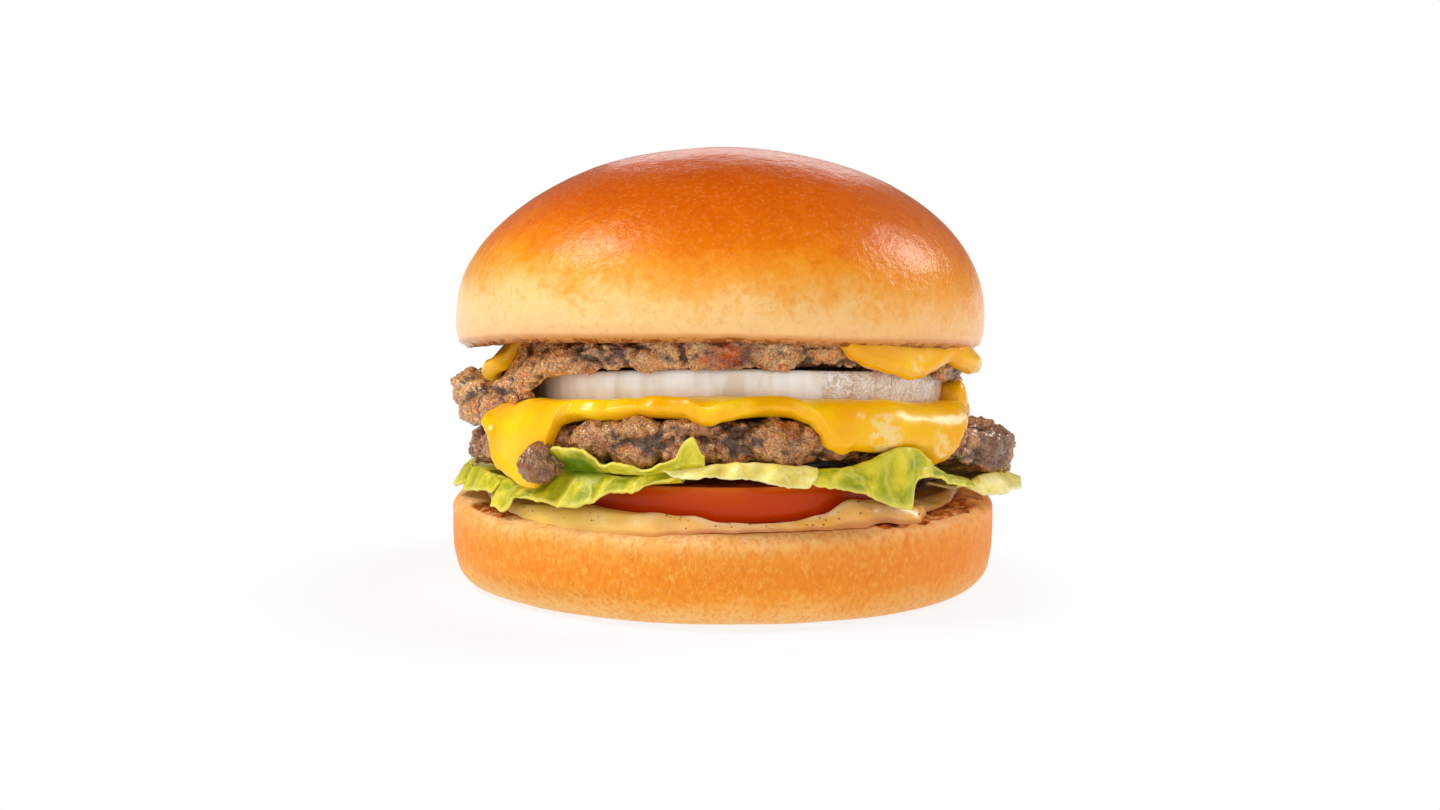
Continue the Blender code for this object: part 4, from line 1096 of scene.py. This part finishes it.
LOWER_TIPS = [(-74, 36.8), (-70, 35.6), (-66, 34.2), (-63.5, 32.8), (-61, 31.6), (-58, 30.9),
              (-56.4, 29.6), (-55.4, 27.2), (-54, 25.6), (-50, 24.5), (-46, 23.3), (-42, 23.4),
              (-40, 24.6), (-38.8, 29.0), (-37.6, 34.6), (-36, 36.1), (-29, 36.2), (-26, 37.1),
              (-20, 37.7), (-15, 37.4), (-13, 37.7), (-9, 37.7), (-6, 36.8), (-4.5, 36.1), (-3, 35.9),
              (1, 36.7), (4, 37.2), (10, 37.8), (14, 37.3), (18, 36.0), (20, 34.0), (21.5, 31.8),
              (25, 30.4), (28, 31.0), (34, 30.2), (42, 29.8), (47, 29.0), (50.5, 26.4), (54, 26.8),
              (57, 28.8), (60, 31.0), (63, 33.0), (69, 35.0)]
LOWER_REST = [(-180, 1.5), (-162, 3.5), (-146, 4.6), (-126, 2.0), (-104, 0.8), (-88, -2.2), (-80, -1.4),
              (74, -0.5), (81, -3.5), (94, -2.5), (104, 0.4), (118, 2.5), (134, 5.0), (150, 4.2),
              (166, 1.2)]
UPPER_TIPS = [(25, 50.9), (26.4, 48.8), (29, 46.9), (33, 45.4), (39, 44.0), (46, 42.5), (49, 42.3),
              (54.6, 43.0), (58, 43.7), (62, 44.2), (66, 42.8), (71, 41.4), (76, 41.2), (82, 41.0),
              (90, 41.2)]
UPPER_REST = [(-180, 1.2), (-160, 5.2), (-146, 7.0), (-128, 3.2), (-108, 0.0), (-90, -2.8), (-84, -1.4),
              (-79, -0.6), (-74, 0.2), (-70, 0.7), (-67, 0.7), (-64, -1.2), (-61, -4.0), (-57, -5.0),
              (-50, -3.0), (-45, -1.5), (10, -1.5), (20, -0.5), (98, 1.4), (108, 0.8), (124, 3.0),
              (140, 6.4), (156, 3.0)]
lower_hang = hang_from_heights(LOWER_TIPS, LOWER_REST, lower_patty_top, lower_reach)
upper_hang = hang_from_heights(UPPER_TIPS, UPPER_REST, upper_patty_top, upper_reach)
lower_cheese_mesh = cheese_mesh("lower_cheese_slice", lower_patty_underside, lower_patty_top, lower_reach,
                                lower_bulge, lower_hang, 1.5, 2.0)
upper_cheese_mesh = cheese_mesh("upper_cheese_slice", upper_patty_underside, upper_patty_top, upper_reach,
                                upper_bulge, upper_hang, 0.6, 6.0)

# %% [markdown]
# ## Finish of the cheese
#
# Melted processed cheese is smooth, glossy and strongly yellow-orange, and light travels about a
# millimetre into it, which makes thin edges glow. In two places the fat has curdled into pale,
# grainy patches. Those are tied to their place on the slice, so that they stay there from any side.

# %% Cheese
cheese_look = Finish("cheese", Roughness=0.26, Subsurface_Weight=0.25, Subsurface_Scale=0.0018,
                     Specular_IOR_Level=0.26, Coat_Weight=0.14, Coat_Roughness=0.1,
                     Subsurface_Radius=(1.0, 0.7, 0.04))
melted = cheese_look.ramp(cheese_look.blotches(9.0, 3.0, 0.5),
                          (0.34, srgb(249, 178, 0)), (0.5, srgb(254, 194, 0)), (0.66, srgb(255, 210, 14)))
melted = cheese_look.blend(cheese_look.range(cheese_look.mark("edge"), 0.5, 1.0, 0.0, 0.3), melted,
                           srgb(246, 170, 0))
PALE_PATCHES = [((28.4, -41.8, 33.9), 4.6), ((39.6, -31.4, 30.8), 3.6), ((44.5, -24.5, 35.0), 2.6),
                ((35.5, -33.0, 45.5), 2.4)]
for spot, size in PALE_PATCHES:
    near = cheese_look.near(spot, 0.6 * size, size, 1.0, 0.0)
    grains = cheese_look.range(cheese_look.blotches(2.0, 4.0, 0.65), 0.44, 0.54)
    melted = cheese_look.blend(cheese_look.scaled(near, grains), melted, srgb(252, 222, 146))
shaded = cheese_look.math("MAXIMUM", cheese_look.range(cheese_look.z, 41.0, 49.0, 0.0, 0.55),
                          cheese_look.range(cheese_look.x, 8.0, 44.0, 0.0, 0.35))
cheese_look.colour(cheese_look.blend(shaded, melted, srgb(224, 146, 0)))
cheese_look.bump((cheese_look.blotches(4.0, 2.0, 0.5), 0.3), (cheese_look.blotches(0.8, 3.0, 0.5), 0.03))
show("lower_cheese_slice", lower_cheese_mesh, "lower_cheese", cheese_look.material)
show("upper_cheese_slice", upper_cheese_mesh, "upper_cheese", cheese_look.material)
lump("cheese_lump_by_onion", "cheese", (43.3, -7.0, 35.2), (2.9, 3.2, 4.3), cheese_look.material,
     lambda spot: (0.9 * grain(spot, 3.0, 4.0), {"edge": 0.0}))

# %% [markdown]
# ## The onion slice
#
# A raw onion slice is a set of white rings that fit into each other. From the side only the outer
# ring shows, and on the right it ends, so that the wetter ring inside it shows. The step between
# them is a small change of radius, and grooves mark the rings on both cut faces.

# %% Shape of the onion
onion_step = round_trip((-180, 0.9), (-150, 0.0), (21.5, 0.0), (24.0, 1.0), (60, 0.9), (120, 0.5))


def onion_place(share, level, azimuth):
    side = max(share - 0.97, 0.0) / 0.03
    inward = onion_step(azimuth) * ease((share - 0.9) / 0.1)
    wavy = 0.16 * grain((azimuth / 2.0, level, 0.0), 2.0) * side + 0.1 * math.sin(2.6 * level) * side
    radius = share * ONION_RADIUS - inward + wavy - 0.15
    turned_x, turned_y = from_polar(radius, azimuth)
    x, y = ONION_CENTRE[0] + turned_x, ONION_CENTRE[1] + turned_y
    ring = 0.18 * abs(math.sin(math.pi * radius / 4.2)) ** 0.5 - 0.18
    low, high = onion_underside(x, y), onion_top(x, y) + 0.3 * ease((share - 0.9) / 0.06)
    height = mix(low, high, 0.5 * (level + 1.0)) + ring * level * (1.0 - side)
    membrane = ease((azimuth - 20.0) / 4.0) * (1.0 - ease((azimuth - 110.0) / 20.0))
    return (x, y, height), {"wet": membrane}


onion_rings = [0.05 * step for step in range(14)] + [0.65 + 0.0125 * step for step in range(1, 25)]
onion_mesh = turn("onion_slice_rings", slab_rings(onion_rings, 0.03, 18, 0.55), 320, onion_place)

# %% [markdown]
# ## Finish of the onion
#
# The flesh is milky white with faint upright fibres, and lets light in. Where the outer ring is
# gone, a thin wet skin clings to the next one: slightly beige and wrinkled. Its small bright glints
# are a painted highlight, near-white lines along a warped noise, and the same noise makes a bump
# under a clear coat.

# %% Onion
onion_look = Finish("onion", Roughness=0.3, Subsurface_Weight=0.35, Subsurface_Scale=0.003,
                    Specular_IOR_Level=0.45, Coat_Weight=0.6, Coat_Roughness=0.08,
                    Subsurface_Radius=(1.0, 0.92, 0.75))
fibres = onion_look.blotches(4.0, 4.0, 0.5, onion_look.stretched(1.0, 1.0, 0.2))
milky = onion_look.ramp(fibres, (0.34, srgb(226, 212, 190)), (0.48, srgb(244, 238, 228)),
                        (0.62, srgb(252, 250, 244)))
wet_skin = onion_look.ramp(onion_look.blotches(2.4, 5.0, 0.65, warp=0.8),
                           (0.35, srgb(190, 160, 124)), (0.5, srgb(222, 198, 168)),
                           (0.66, srgb(250, 242, 230)))
wet = onion_look.mark("wet")
body = onion_look.blend(onion_look.scaled(wet, 0.85), milky, wet_skin)
body = onion_look.blend(onion_look.range(onion_look.x, -25.0, -37.0, 0.0, 0.5), body, srgb(222, 202, 172))
squiggles = onion_look.blotches(2.4, 2.0, 0.5, warp=2.2)
off_ridge = onion_look.math("ABSOLUTE", onion_look.math("SUBTRACT", squiggles, 0.5))
# painted highlight: near-white glint lines on the wet skin, along the middle of the warped noise
glints = onion_look.scaled(onion_look.range(off_ridge, 0.014, 0.055, 1.0, 0.0), wet)
onion_look.colour(onion_look.blend(glints, body, srgb(255, 253, 248)))
crinkle = onion_look.scaled(squiggles, wet)
onion_look.bump((fibres, 0.08), (crinkle, 0.3))
show("onion_slice_rings", onion_mesh, "onion_slice", onion_look.material)

# %% [markdown]
# ## The crown: the top half of the bun
#
# The crown is a dome that leans back a little on the stack, over a soft lip that tucks in. A good
# crust isn't a perfect dome: slow dents and a fine crinkle catch the light. Underneath it is
# hollowed where it sits on the stack.

# %% Shape of the crown
CROWN_RADIUS = 50.4
CROWN_WIDEST = 3.9
CROWN_DOME = 32.0
CROWN_LEAN = 0.096
CROWN_ROLL = 0.014
CROWN_SHIFT = -0.7
CROWN_TOP_SHIFT = 1.7
LIP_CENTRE_HEIGHT = 46.9
lip_sag = round_trip((-180, 1.2), (-90, 2.5), (-35, 0.5), (0, 0.0), (35, 0.6), (88, 1.5), (135, 1.5))


def crown_underside(x, y):
    swell = upper_thickness(polar(x, y)[1]) - UPPER_CORE_THICKNESS
    patty_top = onion_top(x, y) + SEAT_GAP + UPPER_CORE_THICKNESS + max(swell, 0.0) * sagging(x, y)
    return patty_top + DRAPE_GAP + CHEESE_THICKNESS + 0.9


def crown_rings():
    rings = []
    for step in range(64):
        angle = 0.5 * math.pi * step / 64.0
        rings.append((CROWN_RADIUS * math.sin(angle), CROWN_WIDEST + CROWN_DOME * math.cos(angle)))
    lip = [(0.0, 48.6), (0.35, 49.4), (1.5, 50.0), (2.6, 50.3), (3.9, 50.4)]
    for step in range(15):
        height = CROWN_WIDEST * (1.0 - step / 14.0)
        rings.append((smooth_run(lip, height), height))
    return rings + [(48.1, -0.6)] + [(radius, -1.0) for radius in (47.7, 46.5, 44.0, 40.0, 34.0, 20.0, 0.0)]


def crown_place(radius, z, azimuth):
    x, y = from_polar(radius, azimuth)
    x = x + CROWN_SHIFT + CROWN_TOP_SHIFT * ease(z / CROWN_DOME)
    radius, azimuth = polar(x, y)
    rimward = ease((radius - 30.0) / 18.0)
    sag = lip_sag(azimuth) * (1.0 - ease(z / 9.0)) * rimward
    plane = LIP_CENTRE_HEIGHT - CROWN_LEAN * y - CROWN_ROLL * x
    if z < -0.8:
        return (x, y, max(crown_underside(x, y), plane - sag + 0.4)), {"baked": -0.2, "lip": 1.0}
    spot = (x, y, z)
    dents = 0.4 * grain(spot, 38.0) + 0.16 * grain(spot, 13.0, 5.0) + 0.05 * grain(spot, 4.5, 2.0)
    ragged = 0.22 * grain((azimuth / 2.5, 0.0, 0.0), 1.5) * (1.0 - ease(z / 2.5)) * rimward
    share = 1.0 + dents / CROWN_RADIUS
    height = plane + z - sag + dents * ease(z / CROWN_DOME) + ragged
    return (x * share, y * share, height), {"baked": z / CROWN_DOME, "lip": 1.0 - ease(z / 2.2)}


crown_mesh = turn("top_bun_crust", crown_rings(), 360, crown_place)

# %% [markdown]
# ## Finish of the crown
#
# The top of the crown faced the heat, so it is a deep orange-brown that fades through golden to a
# pale cream where the dough stayed in the tin. The glaze makes it satin-glossy with a fine leathery
# crinkle, and right at the lower edge a thin toasted line shows where it was cut.

# %% Crown crust
crown_look = Finish("crust", Roughness=0.24, Subsurface_Weight=0.05, Subsurface_Scale=0.002,
                    Specular_IOR_Level=0.27, Specular_Tint=(1.0, 0.94, 0.72, 1.0),
                    Subsurface_Radius=(1.0, 0.45, 0.15))
baked = crown_look.mark("baked")
wander = crown_look.math("SUBTRACT", crown_look.blotches(14.0, 5.0, 0.6), 0.5)
baked = crown_look.math("ADD", baked, crown_look.scaled(wander, 0.26))
mottle = crown_look.math("SUBTRACT", crown_look.blotches(3.4, 5.0, 0.7, warp=0.9), 0.5)
baked = crown_look.math("ADD", baked, crown_look.scaled(mottle, 0.36))
baked = crown_look.math("ADD", baked, crown_look.range(crown_look.x, -50.0, 0.0, -0.09, 0.0))
crust = crown_look.ramp(baked, (0.0, srgb(246, 192, 128)), (0.07, srgb(248, 200, 132)),
                        (0.16, srgb(247, 196, 120)), (0.27, srgb(243, 170, 72)), (0.37, srgb(240, 146, 24)),
                        (0.5, srgb(230, 118, 2)), (0.7, srgb(212, 92, 0)), (1.0, srgb(192, 76, 0)))
crust = crown_look.blend(crown_look.range(crown_look.x, 0.0, 46.0, 0.0, 0.25), crust, srgb(214, 118, 44))
golden = crown_look.range(crown_look.blotches(5.5, 5.0, 0.68, warp=0.9), 0.46, 0.62, 0.0, 0.5)
golden = crown_look.scaled(golden, crown_look.range(baked, 0.04, 0.2))
golden = crown_look.scaled(golden, crown_look.range(baked, 0.28, 0.5, 1.0, 0.1))
crust = crown_look.blend(golden, crust, srgb(240, 150, 34))
speckle = crown_look.range(crown_look.blotches(1.1, 4.0, 0.65), 0.5, 0.75, 0.0, 0.3)
crust = crown_look.blend(speckle, crust, srgb(206, 100, 16))
pale_spots = crown_look.range(crown_look.blotches(0.8, 4.0, 0.65), 0.5, 0.7, 0.0, 0.16)
crust = crown_look.blend(pale_spots, crust, srgb(252, 190, 112))
left_side = crown_look.scaled(crown_look.range(crown_look.x, 6.0, -44.0, 0.0, 0.05),
                              crown_look.range(baked, 0.16, 0.34, 1.0, 0.0))
crust = crown_look.blend(left_side, crust, srgb(255, 234, 190))
frayed = crown_look.scaled(crown_look.blotches(2.2, 5.0, 0.75), 0.6)
lip = crown_look.mark("lip")
toasted_line = crown_look.range(crown_look.math("ADD", lip, frayed), 1.27, 1.34, 0.0, 0.9)
lip_shade = crown_look.range(lip, 0.25, 1.0, 0.0, 0.8)
crust = crown_look.blend(lip_shade, crust, srgb(206, 130, 64))
crown_look.colour(crown_look.blend(toasted_line, crust, srgb(150, 76, 28)))
crinkle = crown_look.blotches(0.9, 3.0, 0.6, warp=0.8)
pores = crown_look.range(crown_look.cells(1.7), 0.05, 0.2, 1.0, 0.0)
crown_look.bump((crown_look.blotches(3.2, 2.0, 0.5), 0.22), (crinkle, 0.11),
                (crown_look.scaled(pores, -1.0), 0.03))
show("top_bun_crust", crown_mesh, "top_bun", crown_look.material)

# %% [markdown]
# ## Pepper in the sauce
#
# Small things stay real: each pepper fleck is a tiny broken grain that lies on the sauce, half sunk
# in. They could be scattered as instances, but those get lost when the model leaves Blender, so one
# mesh holds them all. A seeded random generator gives the same flecks on every run.

# %% Scatter the pepper
def scatter(name, finish, spots, low, high, seed):
    """One mesh of small broken grains, between low and high millimetres large, one at each spot."""
    chance = random.Random(seed)
    corners = [(1, 0, 0), (-1, 0, 0), (0, 1, 0), (0, -1, 0), (0, 0, 1), (0, 0, -1)]
    sides = [(0, 2, 4), (2, 1, 4), (1, 3, 4), (3, 0, 4), (2, 0, 5), (1, 2, 5), (3, 1, 5), (0, 3, 5)]
    points, faces = [], []
    for spot in spots:
        start = len(points)
        size = mix(low, high, chance.random() ** 1.8)
        turn_by = chance.uniform(0.0, math.pi)
        cosine, sine = math.cos(turn_by), math.sin(turn_by)
        for x, y, z in corners:
            x, y, z = (value * size * chance.uniform(0.55, 1.0) for value in (x, y, z))
            x, y = x * cosine - y * sine, x * sine + y * cosine
            points.append(((spot[0] + x) * MM, (spot[1] + y) * MM, (spot[2] + 0.6 * z) * MM))
        faces += [[start + corner for corner in side] for side in sides]
    mesh = bpy.data.meshes.new(name)
    mesh.from_pydata(points, [], faces)
    show(name, mesh, None, finish)
    print(f"{name}: {len(spots)} grains")


FLECKS = 320
chance = random.Random(7)
fleck_spots = []
for _ in range(FLECKS):
    azimuth = chance.uniform(-180.0, 180.0)
    share = chance.uniform(0.55, 0.985)
    fleck_spots.append(sauce_place(share, 1.0, azimuth)[0])
pepper_look = Finish("pepper", Roughness=0.5)
pepper_look.colour(pepper_look.ramp(pepper_look.blotches(1.0, 2.0), (0.4, srgb(52, 34, 22)),
                                    (0.6, srgb(112, 74, 40))))
scatter("pepper_flecks", pepper_look.material, fleck_spots, 0.12, 0.42, 3)

# %% [markdown]
# ## Camera, floor and light
#
# The stack is seen from a little above, from half a metre away, with a long lens that keeps the
# layers nearly parallel. The room is a white studio, pale near the floor and dark overhead. A soft
# box hangs high on the left, another on the right, a wide one in front and a weak one behind. The
# floor fades to pure white away from the burger, so that only a faint shadow tells where it stands.

# %% Camera
CAMERA_PLACE = (-0.0007, -0.520, 0.104)
CAMERA_LENS = 68.225
LOOK_DOWN = 7.7244
camera_data = bpy.data.cameras.new("camera")
camera_data.sensor_width = 36.0
camera_data.lens = CAMERA_LENS
camera_data.clip_start = 0.01
camera_data.clip_end = 50.0
camera = bpy.data.objects.new("camera", camera_data)
camera.location = CAMERA_PLACE
camera.rotation_euler = (math.radians(90.0 - LOOK_DOWN), 0.0, 0.0)
bpy.context.scene.collection.objects.link(camera)
bpy.context.scene.camera = camera
bpy.context.scene.view_settings.view_transform = "Standard"
print("camera at", tuple(round(value, 3) for value in camera.location))

# %% Floor
FLOOR_REACH = 12.0
SHADOW_CENTRE = (-14.0, -12.0, 0.0)
SHADOW_REACH = (50.0, 88.0)
floor_mesh = bpy.data.meshes.new("floor")
corners = [(-FLOOR_REACH, -FLOOR_REACH, 0.0), (FLOOR_REACH, -FLOOR_REACH, 0.0),
           (FLOOR_REACH, FLOOR_REACH, 0.0), (-FLOOR_REACH, FLOOR_REACH, 0.0)]
floor_mesh.from_pydata(corners, [], [(0, 1, 2, 3)])
floor = bpy.data.objects.new("floor", floor_mesh)
bpy.context.scene.collection.objects.link(floor)
floor_look = Finish("white_floor", Roughness=0.9, Specular_IOR_Level=0.0)
floor_look.colour(floor_look.ramp(floor_look.blotches(400.0), (0.0, (0.90, 0.90, 0.90, 1.0)),
                                  (1.0, (0.92, 0.92, 0.92, 1.0))))
glow = floor_look.add("ShaderNodeEmission", {"Color": (1.0, 1.0, 1.0, 1.0), "Strength": 1.0})
lit_share = floor_look.near(SHADOW_CENTRE, *SHADOW_REACH, 0.8, 1.0)
fade = floor_look.add("ShaderNodeMixShader", {0: lit_share, 1: floor_look.shader.outputs[0],
                                              2: glow.outputs[0]})
output = next(node for node in floor_look.tree.nodes if node.type == "OUTPUT_MATERIAL")
floor_look.tree.links.new(fade.outputs[0], output.inputs["Surface"])
floor_mesh.materials.append(floor_look.material)

# %% Studio light
def soft_box(name, location, size, power):
    lamp = bpy.data.lights.new(name, "AREA")
    lamp.shape = "RECTANGLE"
    lamp.size, lamp.size_y = size
    lamp.energy = power
    box = bpy.data.objects.new(name, lamp)
    box.location = location
    aim = Vector((0.0, 0.0, 0.045)) - Vector(location)
    box.rotation_euler = aim.to_track_quat("-Z", "Y").to_euler()
    bpy.context.scene.collection.objects.link(box)
    print(f"{name}: {power} W")


soft_box("soft_box_left", (-0.42, -0.08, 0.53), (0.2, 0.24), 2.7)
soft_box("soft_box_right", (0.53, 0.17, 0.37), (0.22, 0.22), 1.8)
soft_box("soft_box_front", (-0.10, -0.70, 0.50), (1.1, 0.7), 2.7)
soft_box("soft_box_back", (0.03, 0.75, 0.30), (0.3, 0.16), 0.36)

world = bpy.data.worlds.new("white_studio")
bpy.context.scene.world = world
world.use_nodes = True
room = world.node_tree
background = room.nodes["Background"]
looking = room.nodes.new("ShaderNodeTexCoord")
split = room.nodes.new("ShaderNodeSeparateXYZ")
room.links.new(looking.outputs["Generated"], split.inputs[0])


def shade_room(axis, start, end, start_light, end_light):
    """Light that changes smoothly with the direction one looks in."""
    walls = room.nodes.new("ShaderNodeMapRange")
    walls.interpolation_type = "SMOOTHSTEP"
    settings = {"From Min": start, "From Max": end, "To Min": start_light, "To Max": end_light}
    for key, value in settings.items():
        walls.inputs[key].default_value = value
    room.links.new(split.outputs[axis], walls.inputs["Value"])
    return walls.outputs["Result"]


def room_math(operation, first, second):
    node = room.nodes.new("ShaderNodeMath")
    node.operation = operation
    room.links.new(first, node.inputs[0])
    room.links.new(second, node.inputs[1])
    return node.outputs[0]


height_light = shade_room("Z", 0.2, 0.75, 1.0, 0.1)
depth_light = shade_room("Y", -0.3, 0.6, 0.85, 0.2)
rays = room.nodes.new("ShaderNodeLightPath")
lit = room_math("MAXIMUM", rays.outputs["Is Camera Ray"], room_math("MULTIPLY", height_light, depth_light))
room.links.new(lit, background.inputs["Strength"])
background.inputs["Color"].default_value = (1.0, 1.0, 1.0, 1.0)
